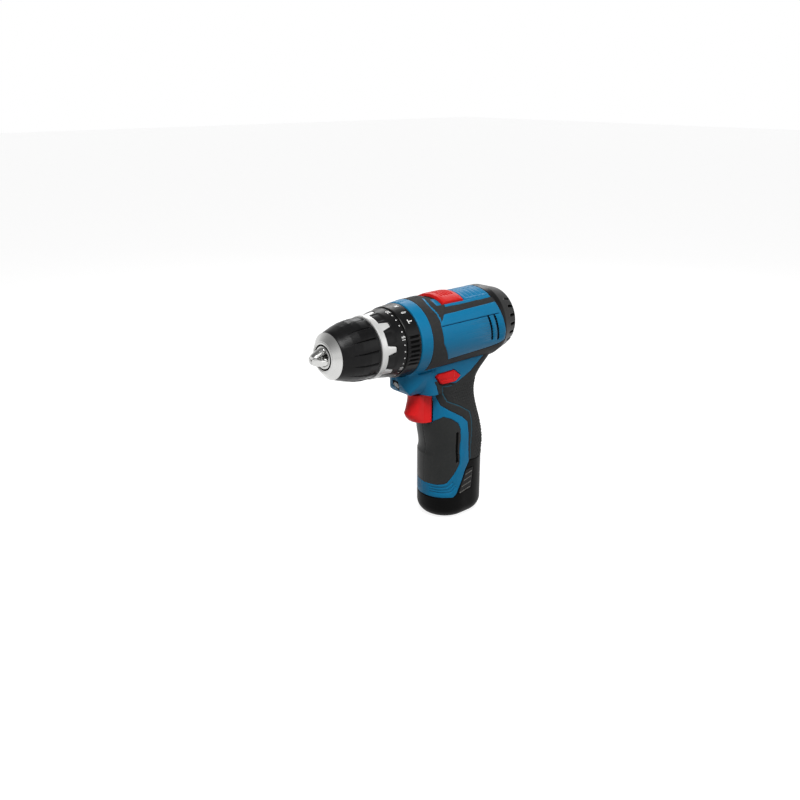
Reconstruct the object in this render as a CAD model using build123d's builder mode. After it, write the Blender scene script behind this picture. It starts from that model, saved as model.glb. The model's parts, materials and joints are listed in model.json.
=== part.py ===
"""Cordless drill driver with a keyless chuck, a two-stage gearbox and a stick battery.

Millimetres. The origin is the centre of the battery foot's flat bottom, +X runs forward
along the spindle to the chuck, +Y is the left side and +Z is up.
"""
import os
from math import cos, pi, radians, sin, sqrt, tan

from build123d import *

os.makedirs("parts", exist_ok=True)

# ---------------------------------------------------------------- driving dimensions
# clearances
body_gap = 0.3
running_gap = 0.05
slide_gap = 0.1
pocket_gap = 0.4
lever_gap = 0.6
ring_gap = 0.5

# battery
cell_radius = 9.1
cell_gap = 0.05
cell_length = 65.0
cell_floor = 5.0
cell_slack = 0.3
stick_wall = 0.8
stick_lid = 1.5
stick_gap = 0.475

# housing skin
wall = 2.5
rubber = 1.2
grip_flat = 4.5
foot_round = 10.0
foot_straight = 54.0
handle_reach = 79.2
collar_wall = 4.5
cap_rim_x = -46.0
cap_face_x = -49.5
cap_seam_x = -24.0
cap_seam_lean = 14.3
cap_taper_x = -31.0
chin_reach = 6.5
chin_half_width = 15.5

# motor
can_radius = 18.0
can_wall = 1.2
can_rear_x = -37.0
can_front_x = 9.0
shaft_radius = 1.6
shaft_rear_x = -41.0
magnet_thickness = 3.6
air_gap = 1.7
commutator_radius = 5.0
motor_plate_thickness = 4.0

# gearbox
gear_module = 0.7
addendum = 0.9
dedendum = 1.2
pinion_teeth = 12
rear_planet_teeth = 18
sun_teeth = 15
front_planet_teeth = 15
planet_count = 3
tooth_share = 0.40
planet_pin_radius = 1.5
ring_gear_wall = 3.16
rear_ring_length = 10.0
rear_planet_length = 8.0
dog_length = 3.0
front_ring_length = 9.4
front_planet_length = 7.8
carrier_thickness = 3.6
ratchet_thickness = 3.2
ratchet_tooth_height = 1.0
ratchet_gap = 3.6
case_wall = 2.6
case_web = 1.0
nose_tube_radius = 12.5
spindle_radius = 5.0
bearing_radius = 9.5
shift_travel = 6.0

# clutch
clutch_pin_count = 6
clutch_pin_radius = 1.5
clutch_spring_radius = 15.0
clutch_wire_radius = 0.9
clutch_spring_turns = 3

# rings in front of the housing
mode_ring_length = 8.8
torque_ring_length = 18.2
index_ring_length = 4.5
index_lug_count = 8
index_lug_length = 6.6
index_lug_depth = 1.8

# chuck
chuck_length = 33.9
chuck_radius = 22.0
sleeve_straight = 11.5
sleeve_wall = 3.1
nose_radius = 11.3
nose_length = 4.3
nose_bore_radius = 5.5
chuck_core_radius = 15.5
jaw_radius = 3.2
jaw_length = 26.0
jaw_reach = 9.6
jaw_tilt = 15.0
jaw_tip_axis_radius = 1.5
bit_radius = 0.75

# controls
trigger_half_width = 8.2
lever_proud = 1.2
selector_half_width = 14.6
selector_length = 21.6
selector_rear_x = 1.2
button_travel = 1.2

# fasteners
screw_radius = 1.4
screw_head_radius = 2.6
screw_head_height = 1.8
screw_seat = 11.5
screw_reach = 9.0
boss_radius = 3.3

# ---------------------------------------------------------------- derived sizes and places
cell_spacing = 2 * cell_radius + cell_gap
stick_top = cell_floor + cell_length + cell_slack + stick_lid
spindle_height = stick_top + handle_reach
spindle_axis = Axis((0, 0, spindle_height), (1, 0, 0))
grip_half_width = cell_spacing / 2 + cell_radius + stick_wall + stick_gap + wall
grip_half_depth = grip_half_width + grip_flat

# gear train, outward from the sun: the ring gears set the case, and the case the head
ring_teeth = pinion_teeth + 2 * rear_planet_teeth
front_ring_teeth = sun_teeth + 2 * front_planet_teeth
planet_orbit = gear_module * (pinion_teeth + rear_planet_teeth) / 2
front_planet_orbit = gear_module * (sun_teeth + front_planet_teeth) / 2
ring_root_radius = gear_module * (ring_teeth / 2 + dedendum)
case_bore_radius = ring_root_radius + ring_gear_wall + slide_gap
case_radius = case_bore_radius + case_wall
head_radius = case_radius + collar_wall
front_ring_radius = head_radius - 1.0
cap_rim_radius = head_radius - 4.2
cap_face_radius = head_radius - 7.5
armature_radius = can_radius - can_wall - magnet_thickness - air_gap
throat_radius = case_bore_radius - 5.7
clutch_pin_circle = case_bore_radius - 3.3
torque_bore_radius = case_bore_radius - 1.7
key_radius = case_bore_radius + 1.1

# gear train, forward from the motor plate
case_rear_x = can_front_x + motor_plate_thickness
rear_ring_x = case_rear_x + 6.0
pinion_x = rear_ring_x - 0.4
rear_planet_x = rear_ring_x + 1.2
shaft_front_x = rear_ring_x + rear_ring_length
dog_x = shaft_front_x + 2.0
front_ring_gear_x = dog_x + dog_length + 2.2
front_planet_x = front_ring_gear_x + 0.6
carrier_x = front_ring_gear_x + front_ring_length - 0.2
clutch_wall_x = front_ring_gear_x + front_ring_length + body_gap
spindle_x = carrier_x + carrier_thickness
spindle_ratchet_x = spindle_x + 1.0
case_ratchet_x = spindle_ratchet_x + ratchet_thickness + 2 * ratchet_tooth_height + ratchet_gap
clutch_face_x = case_ratchet_x + ratchet_thickness + case_web

# rings and chuck, forward from the housing's front
ring_overlap = 0.9
mode_ring_x = clutch_face_x - ring_overlap - mode_ring_length
front_ring_x = mode_ring_x - body_gap
case_shoulder_x = front_ring_x - 2.0
band_front_x = front_ring_x - 9.5
chin_tip_x = front_ring_x + chin_reach
torque_ring_x = mode_ring_x + mode_ring_length + body_gap
index_ring_x = torque_ring_x + torque_ring_length
chuck_x = index_ring_x + index_ring_length + body_gap
nose_tube_x = chuck_x - 2.4
nose_x = chuck_x + chuck_length
jaw_tip_x = nose_x + jaw_reach
mode_ring_radius = front_ring_radius - 0.4
torque_ring_radius = mode_ring_radius - 1.3
torque_ring_front_radius = torque_ring_radius - 2.7
sleeve_front_radius = chuck_core_radius + 1.1


def level(rise):
    """The height of a place that lies so far above the spindle's axis, or under it if negative."""
    return spindle_height + rise


# rows of the grip's loft: height, centre x, half depth, half width
grip_rows = [
    (foot_straight, 0.0, grip_half_depth, grip_half_width),
    (level(-80.0), 1.0, grip_half_depth - 0.3, grip_half_width - 0.1),
    (level(-67.0), 3.4, grip_half_depth - 1.5, grip_half_width - 2.0),
    (level(-53.0), 5.0, grip_half_depth - 3.0, grip_half_width - 4.2),
    (level(-41.0), 5.8, grip_half_depth - 1.0, grip_half_width - 4.5),
    (level(-30.0), 5.0, grip_half_depth + 6.5, grip_half_width - 4.0),
    (level(-19.0), 3.5, grip_half_depth + 14.5, grip_half_width - 3.5),
]


# ---------------------------------------------------------------- helpers
def spindle_plane(x):
    """The plane square to the spindle at x: its own x runs to +Y and its own y to +Z."""
    return Plane(origin=(x, 0, spindle_height), x_dir=(0, 1, 0), z_dir=(1, 0, 0))


def turn(*points, mode=Mode.ADD):
    """Revolve an outline of (x, radius) points about the spindle."""
    with BuildSketch(Plane.XZ) as section:
        with BuildLine():
            Polyline(*[(x, spindle_height + radius) for x, radius in points], close=True)
        make_face()
    revolve(section.sketch, axis=spindle_axis, mode=mode)


def across(*points, half_width=60.0, mode=Mode.ADD):
    """Extrude an outline of (x, z) points to both sides of the middle plane."""
    with BuildSketch(Plane.XZ) as section:
        with BuildLine():
            Polyline(*points, close=True)
        make_face()
    extrude(section.sketch, amount=half_width, both=True, mode=mode)


def across_part(*points, half_width=60.0):
    """The same outline as a loose solid."""
    with BuildPart() as prism:
        across(*points, half_width=half_width)
    return prism.part


def block(x0, x1, y0, y1, z0, z1, mode=Mode.ADD):
    """A box between two corners, in the part being built."""
    with Locations(((x0 + x1) / 2, (y0 + y1) / 2, (z0 + z1) / 2)):
        Box(x1 - x0, y1 - y0, z1 - z0, mode=mode)


def gear_face(teeth, phase, internal=False):
    """Outline points of a straight-flanked gear with a tooth centred at phase degrees."""
    out = -1 if internal else 1
    pitch_radius = gear_module * teeth / 2
    tip = pitch_radius + out * addendum * gear_module
    root = pitch_radius - out * dedendum * gear_module
    flank = tan(radians(20))
    half = tooth_share * pi * gear_module / 2
    tip_half = (half - addendum * gear_module * flank) / tip
    root_half = (half + dedendum * gear_module * flank) / root
    points = []
    for i in range(teeth):
        middle = radians(phase) + 2 * pi * i / teeth
        corners = [(root, -root_half), (tip, -tip_half), (tip, tip_half), (root, root_half)]
        for radius, turn_by in corners:
            points.append((radius * cos(middle + turn_by), radius * sin(middle + turn_by)))
    return points


def gear(x, length, teeth, phase, centre=(0, 0), mode=Mode.ADD, internal=False):
    """Extrude a gear outline forward from x about a centre on the spindle plane."""
    with BuildSketch(spindle_plane(x)) as section:
        with Locations(centre):
            with BuildSketch(mode=Mode.PRIVATE) as outline:
                with BuildLine():
                    Polyline(*gear_face(teeth, phase, internal), close=True)
                make_face()
            add(outline.sketch)
    extrude(section.sketch, amount=length, mode=mode)


def post(x, length, radius, centre=(0, 0), mode=Mode.ADD):
    """A round bar parallel to the spindle, from x forward."""
    with BuildSketch(spindle_plane(x)) as section:
        with Locations(centre):
            Circle(radius)
    extrude(section.sketch, amount=length, mode=mode)


def orbit(radius, index, count=planet_count, start=0.0):
    """A place on a circle about the spindle."""
    angle = radians(start + 360 * index / count)
    return (radius * cos(angle), radius * sin(angle))


def save(part, name):
    """Label a finished sub-part and write its file."""
    part.label = name
    export_step(part, f"parts/{name}.step")


# ---------------------------------------------------------------- the housing's smooth form
far = 90.0
top_z = level(39.0)
chin_root_x = 22.0
chin_outline = [
    (chin_root_x, level(-21.0)),
    (chin_tip_x + 0.5, level(-21.0)),
    (chin_tip_x - 0.2, level(-28.5)),
    (chin_tip_x - 2.2, level(-35.6)),
    (chin_tip_x - 7.5, level(-41.2)),
    (chin_tip_x - 14.3, level(-43.7)),
    (chin_root_x + 9.0, level(-44.4)),
    (chin_root_x, level(-44.4)),
]
chin_bend_x = chin_tip_x - 15.5


def chin_form(inset):
    """The lamp nose under the rings, round in plan."""
    with BuildPart() as chin:
        with BuildSketch(Plane.XZ):
            with BuildLine():
                Polyline(*chin_outline, close=True)
            make_face()
            if inset:
                offset(amount=-inset, mode=Mode.REPLACE)
        extrude(amount=60, both=True)
        with BuildSketch(Plane.XY.offset(level(-51.0))):
            with BuildLine():
                Polyline(
                    (0, -chin_half_width + inset),
                    (chin_bend_x, -chin_half_width + inset),
                    (chin_tip_x - inset, -chin_half_width * 0.55),
                    (chin_tip_x - inset, chin_half_width * 0.55),
                    (chin_bend_x, chin_half_width - inset),
                    (0, chin_half_width - inset),
                    close=True,
                )
            make_face()
            fillet(vertices().group_by(Axis.X)[-1], radius=6 - inset)
            fillet(vertices().filter_by_position(Axis.X, chin_bend_x - 1, chin_bend_x + 1), radius=10)
        extrude(amount=40, mode=Mode.INTERSECT)
    return chin.part


def housing_form(inset):
    """Head, grip and chin as one smooth solid, drawn in by inset all round."""
    with BuildPart() as form:
        turn(
            (cap_face_x + inset, 0),
            (cap_face_x + inset, cap_face_radius - inset),
            (cap_rim_x - 1.2 + inset, cap_rim_radius - 1.0 - inset),
            (cap_rim_x, cap_rim_radius - inset),
            (cap_taper_x, head_radius - inset),
            (band_front_x, head_radius - inset),
            (front_ring_x, front_ring_radius - inset),
            (front_ring_x, 0),
        )
        for height, centre, depth, width in grip_rows:
            with BuildSketch(Plane.XY.offset(height)):
                with Locations((centre, 0)):
                    SlotOverall(2 * (depth - inset), 2 * (width - inset))
        loft()
        with BuildSketch():
            SlotOverall(2 * (grip_half_depth - inset), 2 * (grip_half_width - inset))
        extrude(amount=foot_straight)
        add(chin_form(inset))
    return form.part


outer_form = housing_form(0)
recess_form = housing_form(rubber)
inner_form = housing_form(wall)

# seams and colour zones, as (x, z) outlines that run across the whole width
seam_slope = tan(radians(cap_seam_lean))


def seam_x(z):
    """Where the rear cap's leaning seam lies at a height."""
    return cap_seam_x - (level(head_radius) - z) * seam_slope


cap_foot_z = level(-36.0)
cap_zone = across_part(
    (seam_x(top_z), top_z), (seam_x(cap_foot_z), cap_foot_z), (-far, cap_foot_z), (-far, top_z)
)
battery_line = [
    (far, 20.0),
    (24.0, 18.8),
    (13.7, 18.7),
    (11.2, 21.5),
    (3.5, 40.0),
    (-1.0, 47.5),
    (-far, 43.0),
]
foot_zone = across_part(*battery_line, (-far, -10), (far, -10))
foot_gap_zone = across_part(
    *[(x, z + body_gap) for x, z in battery_line], (-far, -10), (far, -10)
)
rail_top_z = level(head_radius - 4.4)
rail_low_z = level(6.5 - head_radius)
rail_front_x = 29.0
skin_zone = across_part(
    (band_front_x, rail_low_z),
    (band_front_x, top_z),
    (rail_front_x, top_z),
    (rail_front_x, rail_top_z),
    (seam_x(rail_top_z), rail_top_z),
    (seam_x(rail_low_z), rail_low_z),
)
side_window = across_part(
    (27.5, level(17.9)),
    (-26.0, level(18.7)),
    (-28.6, level(7.6)),
    (-33.4, level(-10.3)),
    (-28.0, level(-12.4)),
    (-18.6, level(-13.7)),
    (24.8, level(-15.4)),
    (33.2, level(-1.0)),
    (34.0, level(12.2)),
)
grip_zone = across_part(
    (31.0, level(-33.2)),
    (28.6, level(-37.1)),
    (25.4, level(-46.7)),
    (22.4, level(-54.6)),
    (17.2, level(-58.7)),
    (5.3, level(-66.3)),
    (0.6, level(-71.0)),
    (0.0, 60.0),
    (-0.6, 46.0),
    (-far, 42.0),
    (-far, level(-19.0)),
    (-18.0, rail_low_z),
    (-11.0, level(-26.5)),
    (-4.0, level(-32.0)),
    (11.0, level(-38.4)),
)
trigger_top_z = level(-44.8)
trigger_foot_z = level(-69.2)
front_zone = across_part(
    (far, trigger_foot_z),
    (27.4, trigger_foot_z),
    (25.3, trigger_foot_z + 2.4),
    (21.0, trigger_foot_z + 5.5),
    (15.6, trigger_foot_z + 3.5),
    (9.9, trigger_foot_z - 1.1),
    (8.2, trigger_foot_z - 5.9),
    (8.7, 47.0),
    (13.3, 38.8),
    (18.4, 31.4),
    (22.7, 30.0),
    (far, 30.0),
)
trigger_pocket_x = 20.0
trigger_pocket = across_part(
    (trigger_pocket_x, trigger_top_z + pocket_gap),
    (far, trigger_top_z + pocket_gap),
    (far, trigger_foot_z),
    (trigger_pocket_x, trigger_foot_z),
    half_width=trigger_half_width + pocket_gap,
)

# the lever, the gear selector and the lamp share places with the shells' openings
lever_outline = [
    (29.6, level(-30.0)),
    (28.4, level(-27.8)),
    (13.5, level(-27.2)),
    (7.3, level(-32.6)),
    (12.6, level(-35.8)),
    (24.7, level(-36.4)),
]
with BuildPart() as lever_room:
    with BuildSketch(Plane.XZ) as lever_gate:
        with BuildLine():
            Polyline(*lever_outline, close=True)
        make_face()
        offset(amount=lever_gap, kind=Kind.INTERSECTION)
    extrude(lever_gate.sketch, amount=60, both=True)
selector_front_x = selector_rear_x + selector_length
selector_floor = head_radius - 1.7
slide_plate_z = (level(head_radius - 4.1), level(head_radius - 2.9))
slide_plate_x = (-1.0, 28.2)
slide_half_width = 4.5
riser_x = 8.0
riser_length = 7.0
riser_half_width = 3.0
groove_x = rear_ring_x + 6.0
groove_width = 3.0
lamp_z = level(-34.4)
lamp_radius = 2.6
switch_z = (level(-66.0), level(-40.0))
switch_x = (-2.0, trigger_pocket_x - 0.1)
switch_half_width = 10.0

# screws: where each passes through the shells, as (x, z)
screw_rise = head_radius - 6.4
screw_places = [
    (-12.0, level(screw_rise)),
    (-12.0, level(-screw_rise)),
    (-10.5, level(-47.0)),
    (chin_tip_x - 15.0, level(-36.5)),
    (-9.5, level(-71.0)),
    (19.0, level(-72.8)),
]

neck_z = level(-20.0)
with BuildPart() as collar:
    # the head's wall closes in round the gearbox above the neck
    turn(
        (case_rear_x, case_radius),
        (case_rear_x, head_radius + 5),
        (front_ring_x + 5, head_radius + 5),
        (front_ring_x + 5, case_bore_radius),
        (case_shoulder_x, case_bore_radius),
        (case_shoulder_x, case_radius),
    )
    across((0, neck_z), (far, neck_z), (far, top_z), (0, top_z), mode=Mode.INTERSECT)

with BuildPart() as cavity:
    add(inner_form)
    add(collar.part, mode=Mode.SUBTRACT)
    block(case_shoulder_x, far, -40, 40, neck_z - 9.5, neck_z, mode=Mode.SUBTRACT)
    turn(
        (case_shoulder_x - 3, 0), (case_shoulder_x - 3, case_bore_radius),
        (front_ring_x + 1, case_bore_radius), (front_ring_x + 1, 0),
    )
    block(
        slide_plate_x[0] - 1,
        slide_plate_x[1] + shift_travel + 1,
        -slide_half_width - 0.5,
        slide_half_width + 0.5,
        level(head_radius - 8),
        slide_plate_z[1] + 0.2,
    )

with BuildPart() as supports:
    # rings that hold the motor can
    for x in (-28.0, -8.0):
        turn((x, can_radius), (x, head_radius - 2), (x + 2.0, head_radius - 2), (x + 2.0, can_radius))
    for x, z in screw_places:
        with BuildSketch(Plane.XZ) as boss:
            with Locations((x, z)):
                Circle(boss_radius)
        extrude(boss.sketch, amount=40, both=True)
    # cradles that grip the switch
    cradle_z = (switch_z[0] + 5, switch_z[1] - 8)
    block(4, 17, -30, -switch_half_width, *cradle_z)
    block(4, 17, switch_half_width, 30, *cradle_z)
    add(outer_form, mode=Mode.INTERSECT)

with BuildPart() as rubber_skin:
    add(outer_form)
    add(recess_form, mode=Mode.SUBTRACT)
    add(skin_zone, mode=Mode.INTERSECT)
    add(side_window, mode=Mode.SUBTRACT)
with BuildPart() as grip_skin:
    add(outer_form)
    add(recess_form, mode=Mode.SUBTRACT)
    add(grip_zone, mode=Mode.INTERSECT)
    add(foot_gap_zone, mode=Mode.SUBTRACT)
    add(cap_zone, mode=Mode.SUBTRACT)
with BuildPart() as front_skin:
    add(outer_form)
    add(recess_form, mode=Mode.SUBTRACT)
    add(front_zone, mode=Mode.INTERSECT)
    add(trigger_pocket, mode=Mode.SUBTRACT)
with BuildPart() as overmould:
    add(rubber_skin.part)
    add(grip_skin.part)
    add(lever_room.part, mode=Mode.SUBTRACT)

with BuildPart() as screws:
    for x, z in screw_places:
        with BuildSketch(Plane.XZ.offset(-screw_reach)) as shank:
            with Locations((x, z)):
                Circle(screw_radius)
        extrude(shank.sketch, amount=screw_reach + screw_seat)
        with BuildSketch(Plane.XZ.offset(screw_seat)) as head:
            with Locations((x, z)):
                Circle(screw_head_radius)
        extrude(head.sketch, amount=screw_head_height)
        with BuildSketch(Plane.XZ.offset(screw_seat + screw_head_height)) as socket:
            with Locations((x, z)):
                RegularPolygon(1.2, 6)
        extrude(socket.sketch, amount=-1.2, mode=Mode.SUBTRACT)

with BuildPart() as screw_holes:
    for x, z in screw_places:
        with BuildSketch(Plane.XZ.offset(-screw_reach)) as shank:
            with Locations((x, z)):
                Circle(screw_radius)
        extrude(shank.sketch, amount=screw_reach + screw_seat)
        with BuildSketch(Plane.XZ.offset(screw_seat)) as head:
            with Locations((x, z)):
                Circle(screw_head_radius + 0.2)
        extrude(head.sketch, amount=30)

with BuildPart() as selector_recess:
    turn(
        (selector_rear_x - pocket_gap, selector_floor),
        (selector_rear_x - pocket_gap, head_radius + 12),
        (selector_front_x + shift_travel + pocket_gap, head_radius + 12),
        (selector_front_x + shift_travel + pocket_gap, selector_floor),
    )
    block(-10, 60, -selector_half_width - pocket_gap, selector_half_width + pocket_gap,
          spindle_height, top_z, mode=Mode.INTERSECT)
    # the slot that the slide's riser runs in
    block(
        riser_x - pocket_gap,
        riser_x + riser_length + shift_travel + pocket_gap,
        -riser_half_width - pocket_gap,
        riser_half_width + pocket_gap,
        slide_plate_z[0],
        top_z,
    )

ring_clearance = mode_ring_radius + ring_gap
with BuildPart() as shells:
    add(outer_form)
    add(cavity.part, mode=Mode.SUBTRACT)
    add(supports.part)
    turn(
        (front_ring_x, 0), (front_ring_x, ring_clearance),
        (far, ring_clearance), (far, 0), mode=Mode.SUBTRACT,
    )
    add(cap_zone, mode=Mode.SUBTRACT)
    add(foot_gap_zone, mode=Mode.SUBTRACT)
    add(trigger_pocket, mode=Mode.SUBTRACT)
    add(lever_room.part, mode=Mode.SUBTRACT)
    add(overmould.part, mode=Mode.SUBTRACT)
    add(front_skin.part, mode=Mode.SUBTRACT)
    add(selector_recess.part, mode=Mode.SUBTRACT)
    add(screw_holes.part, mode=Mode.SUBTRACT)
    with BuildSketch(Plane.YZ.offset(45)) as lamp_seat:
        with Locations((0, lamp_z)):
            Circle(lamp_radius)
    extrude(lamp_seat.sketch, amount=30, mode=Mode.SUBTRACT)

with BuildPart() as left_shell:
    add(shells.part)
    split(bisect_by=Plane.XZ, keep=Keep.BOTTOM)
with BuildPart() as right_shell:
    add(shells.part)
    split(bisect_by=Plane.XZ, keep=Keep.TOP)
save(left_shell.part, "left_shell")
save(right_shell.part, "right_shell")

with BuildPart() as left_overmould:
    add(overmould.part)
    add(selector_recess.part, mode=Mode.SUBTRACT)
    split(bisect_by=Plane.XZ, keep=Keep.BOTTOM)
with BuildPart() as right_overmould:
    add(overmould.part)
    add(selector_recess.part, mode=Mode.SUBTRACT)
    add(screw_holes.part, mode=Mode.SUBTRACT)
    split(bisect_by=Plane.XZ, keep=Keep.TOP)
save(left_overmould.part, "left_overmould")
save(right_overmould.part, "right_overmould")

with BuildPart() as left_grip_panel:
    add(front_skin.part)
    split(bisect_by=Plane.XZ, keep=Keep.BOTTOM)
with BuildPart() as right_grip_panel:
    add(front_skin.part)
    add(screw_holes.part, mode=Mode.SUBTRACT)
    split(bisect_by=Plane.XZ, keep=Keep.TOP)
save(left_grip_panel.part, "left_grip_panel")
save(right_grip_panel.part, "right_grip_panel")
save(screws.part, "housing_screws")

# ---------------------------------------------------------------- rear cap
with BuildPart() as rear_cap:
    add(outer_form)
    add(cap_zone, mode=Mode.INTERSECT)
    add(inner_form, mode=Mode.SUBTRACT)
    # cooling slots along the rim on both sides
    for side in (0, 180):
        for step in range(-2, 3):
            with BuildSketch(spindle_plane(cap_rim_x - 1.5)) as slot:
                with PolarLocations(head_radius - 4.5, 1, start_angle=side + 16 * step):
                    Rectangle(7, 1.6)
            extrude(slot.sketch, amount=8, mode=Mode.SUBTRACT)
save(rear_cap.part, "rear_cap")

# ---------------------------------------------------------------- lamp
with BuildPart() as led_lens:
    with BuildSketch(Plane.YZ.offset(49)) as lens:
        with Locations((0, lamp_z)):
            Circle(lamp_radius)
    extrude(lens.sketch, amount=20)
    add(outer_form, mode=Mode.INTERSECT)
save(led_lens.part, "led_lens")

# ---------------------------------------------------------------- motor
with BuildPart() as motor_can:
    turn(
        (can_rear_x, can_radius),
        (can_front_x, can_radius),
        (can_front_x, shaft_radius + running_gap),
        (can_front_x - can_wall, shaft_radius + running_gap),
        (can_front_x - can_wall, can_radius - can_wall),
        (can_rear_x, can_radius - can_wall),
    )
save(motor_can.part, "motor_can")

magnet_radius = can_radius - can_wall
magnet_x = (-24.0, 2.0)
brush_x = (-33.0, -28.5)
brush_half_height = 2.0
brush_reach = 7.0
with BuildPart() as motor_magnets:
    turn(
        (magnet_x[0], magnet_radius),
        (magnet_x[1], magnet_radius),
        (magnet_x[1], magnet_radius - magnet_thickness),
        (magnet_x[0], magnet_radius - magnet_thickness),
    )
    for side in (-1, 1):
        block(-30, 10, -30, 30, level(-6), level(6), mode=Mode.SUBTRACT)
save(motor_magnets.part, "motor_magnets")

bell_depth = 2.5
with BuildPart() as motor_end_bell:
    turn(
        (can_rear_x, shaft_radius + running_gap),
        (can_rear_x, magnet_radius),
        (can_rear_x + bell_depth, magnet_radius),
        (can_rear_x + bell_depth, shaft_radius + running_gap),
    )
    for side in (-1, 1):
        inner = side * (commutator_radius + 3.0)
        outer = side * (commutator_radius + brush_reach)
        block(can_rear_x + bell_depth, brush_x[1] + 1.0, min(inner, outer), max(inner, outer),
              level(-brush_half_height - 1.2), level(brush_half_height + 1.2))
        block(*brush_x, min(inner, outer) - 1, max(inner, outer) + 1,
              level(-brush_half_height), level(brush_half_height), mode=Mode.SUBTRACT)
save(motor_end_bell.part, "motor_end_bell")

with BuildPart() as carbon_brushes:
    for side in (-1, 1):
        inner = side * (commutator_radius - 1)
        outer = side * (commutator_radius + brush_reach)
        block(*brush_x, min(inner, outer), max(inner, outer),
              level(-brush_half_height), level(brush_half_height))
    turn(
        (-40, 0), (-40, commutator_radius + running_gap),
        (0, commutator_radius + running_gap), (0, 0), mode=Mode.SUBTRACT,
    )
save(carbon_brushes.part, "carbon_brushes")

with BuildPart() as motor_shaft:
    post(shaft_rear_x, shaft_front_x - shaft_rear_x, shaft_radius)
save(motor_shaft.part, "motor_shaft")

slot_count = 5
armature_x = magnet_x[0] + 1.0
armature_length = 24.0
with BuildPart() as armature:
    post(armature_x, armature_length, armature_radius)
    with BuildSketch(spindle_plane(armature_x)) as slots:
        with PolarLocations(armature_radius - 2.2, slot_count):
            Rectangle(6, 2.4)
    extrude(slots.sketch, amount=armature_length, mode=Mode.SUBTRACT)
    post(armature_x, armature_length, shaft_radius, mode=Mode.SUBTRACT)
save(armature.part, "armature")

commutator_x = brush_x[0] - 1.0
commutator_length = 10.0
with BuildPart() as commutator:
    post(commutator_x, commutator_length, commutator_radius)
    post(commutator_x, commutator_length, shaft_radius, mode=Mode.SUBTRACT)
save(commutator.part, "commutator")

blade_count = 9
blade_length = 3.2
fan_plate = 1.0
fan_radius = can_radius - 3.0
blade_x = can_front_x - can_wall - 0.6 - blade_length
fan_x = blade_x - fan_plate
with BuildPart() as cooling_fan:
    post(fan_x, fan_plate, fan_radius)
    post(blade_x, blade_length, 5.0)
    with BuildSketch(spindle_plane(blade_x)) as blades:
        with PolarLocations(fan_radius - 5.4, blade_count):
            Rectangle(10.4, 1.0, rotation=18)
    extrude(blades.sketch, amount=blade_length)
    post(fan_x, fan_plate + blade_length, shaft_radius, mode=Mode.SUBTRACT)
save(cooling_fan.part, "cooling_fan")

with BuildPart() as pinion:
    gear(pinion_x, shaft_front_x - pinion_x, pinion_teeth, 0)
    post(pinion_x, shaft_front_x - pinion_x, shaft_radius, mode=Mode.SUBTRACT)
save(pinion.part, "pinion")

with BuildPart() as motor_plate:
    turn(
        (can_front_x, 3.0), (can_front_x, case_radius),
        (case_rear_x, case_radius), (case_rear_x, 3.0),
    )
save(motor_plate.part, "motor_plate")

# ---------------------------------------------------------------- gearbox
key_length = 4.0
groove_depth = 1.5
groove_floor = case_bore_radius - slide_gap - groove_depth

with BuildPart() as gear_case:
    turn(
        (case_rear_x, case_radius),
        (case_shoulder_x, case_radius),
        (case_shoulder_x, case_bore_radius),
        (clutch_face_x, case_bore_radius),
        (clutch_face_x, nose_tube_radius),
        (nose_tube_x, nose_tube_radius),
        (nose_tube_x, bearing_radius),
        (nose_tube_x - 6.5, bearing_radius),
        (nose_tube_x - 6.5, spindle_radius + running_gap),
        (clutch_face_x - case_web, spindle_radius + running_gap),
        (clutch_face_x - case_web, throat_radius),
        (clutch_wall_x, throat_radius),
        (clutch_wall_x, case_bore_radius),
        (case_rear_x, case_bore_radius),
    )
    # the relief that frees the sliding ring's keys in high gear
    relief_x = rear_ring_x + 0.6 + key_length + 0.8
    turn(
        (relief_x, case_bore_radius - 1), (relief_x, key_radius + 0.2),
        (relief_x + shift_travel, key_radius + 0.2), (relief_x + shift_travel, case_bore_radius - 1),
        mode=Mode.SUBTRACT,
    )
    with BuildSketch(spindle_plane(case_rear_x)) as keyways:
        with PolarLocations(case_bore_radius, 3, start_angle=30):
            Rectangle(2 * (key_radius + 0.2 - case_bore_radius), 4.2)
    extrude(keyways.sketch, amount=relief_x - case_rear_x, mode=Mode.SUBTRACT)
    for index in range(clutch_pin_count):
        post(clutch_wall_x - 1, 30, clutch_pin_radius + running_gap,
             orbit(clutch_pin_circle, index, clutch_pin_count), mode=Mode.SUBTRACT)
    # the slot for the gear selector's tongue
    block(groove_x - body_gap, groove_x + groove_width + shift_travel + body_gap,
          -riser_half_width - pocket_gap, riser_half_width + pocket_gap,
          level(case_bore_radius - 2.9), top_z, mode=Mode.SUBTRACT)
save(gear_case.part, "gear_case")

with BuildPart() as rear_ring_gear:
    post(rear_ring_x, rear_ring_length, case_bore_radius - slide_gap)
    with BuildSketch(spindle_plane(rear_ring_x + 0.6)) as keys:
        with PolarLocations(case_bore_radius - 1.0, 3, start_angle=30):
            Rectangle(2 * (key_radius - case_bore_radius + 1.0), 4.0)
    extrude(keys.sketch, amount=key_length)
    turn(
        (groove_x, groove_floor), (groove_x, 30),
        (groove_x + groove_width, 30), (groove_x + groove_width, groove_floor), mode=Mode.SUBTRACT,
    )
    gear(rear_ring_x, rear_ring_length, ring_teeth, 0, mode=Mode.SUBTRACT, internal=True)
save(rear_ring_gear.part, "rear_ring_gear")

for index in range(planet_count):
    with BuildPart() as rear_planet:
        heading = 360 * index / planet_count
        gear(rear_planet_x, rear_planet_length, rear_planet_teeth,
             heading + 180 + 180 / rear_planet_teeth, orbit(planet_orbit, index))
        post(rear_planet_x, rear_planet_length, planet_pin_radius + running_gap,
             orbit(planet_orbit, index), mode=Mode.SUBTRACT)
    save(rear_planet.part, f"rear_planet_{index + 1}")

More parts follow.
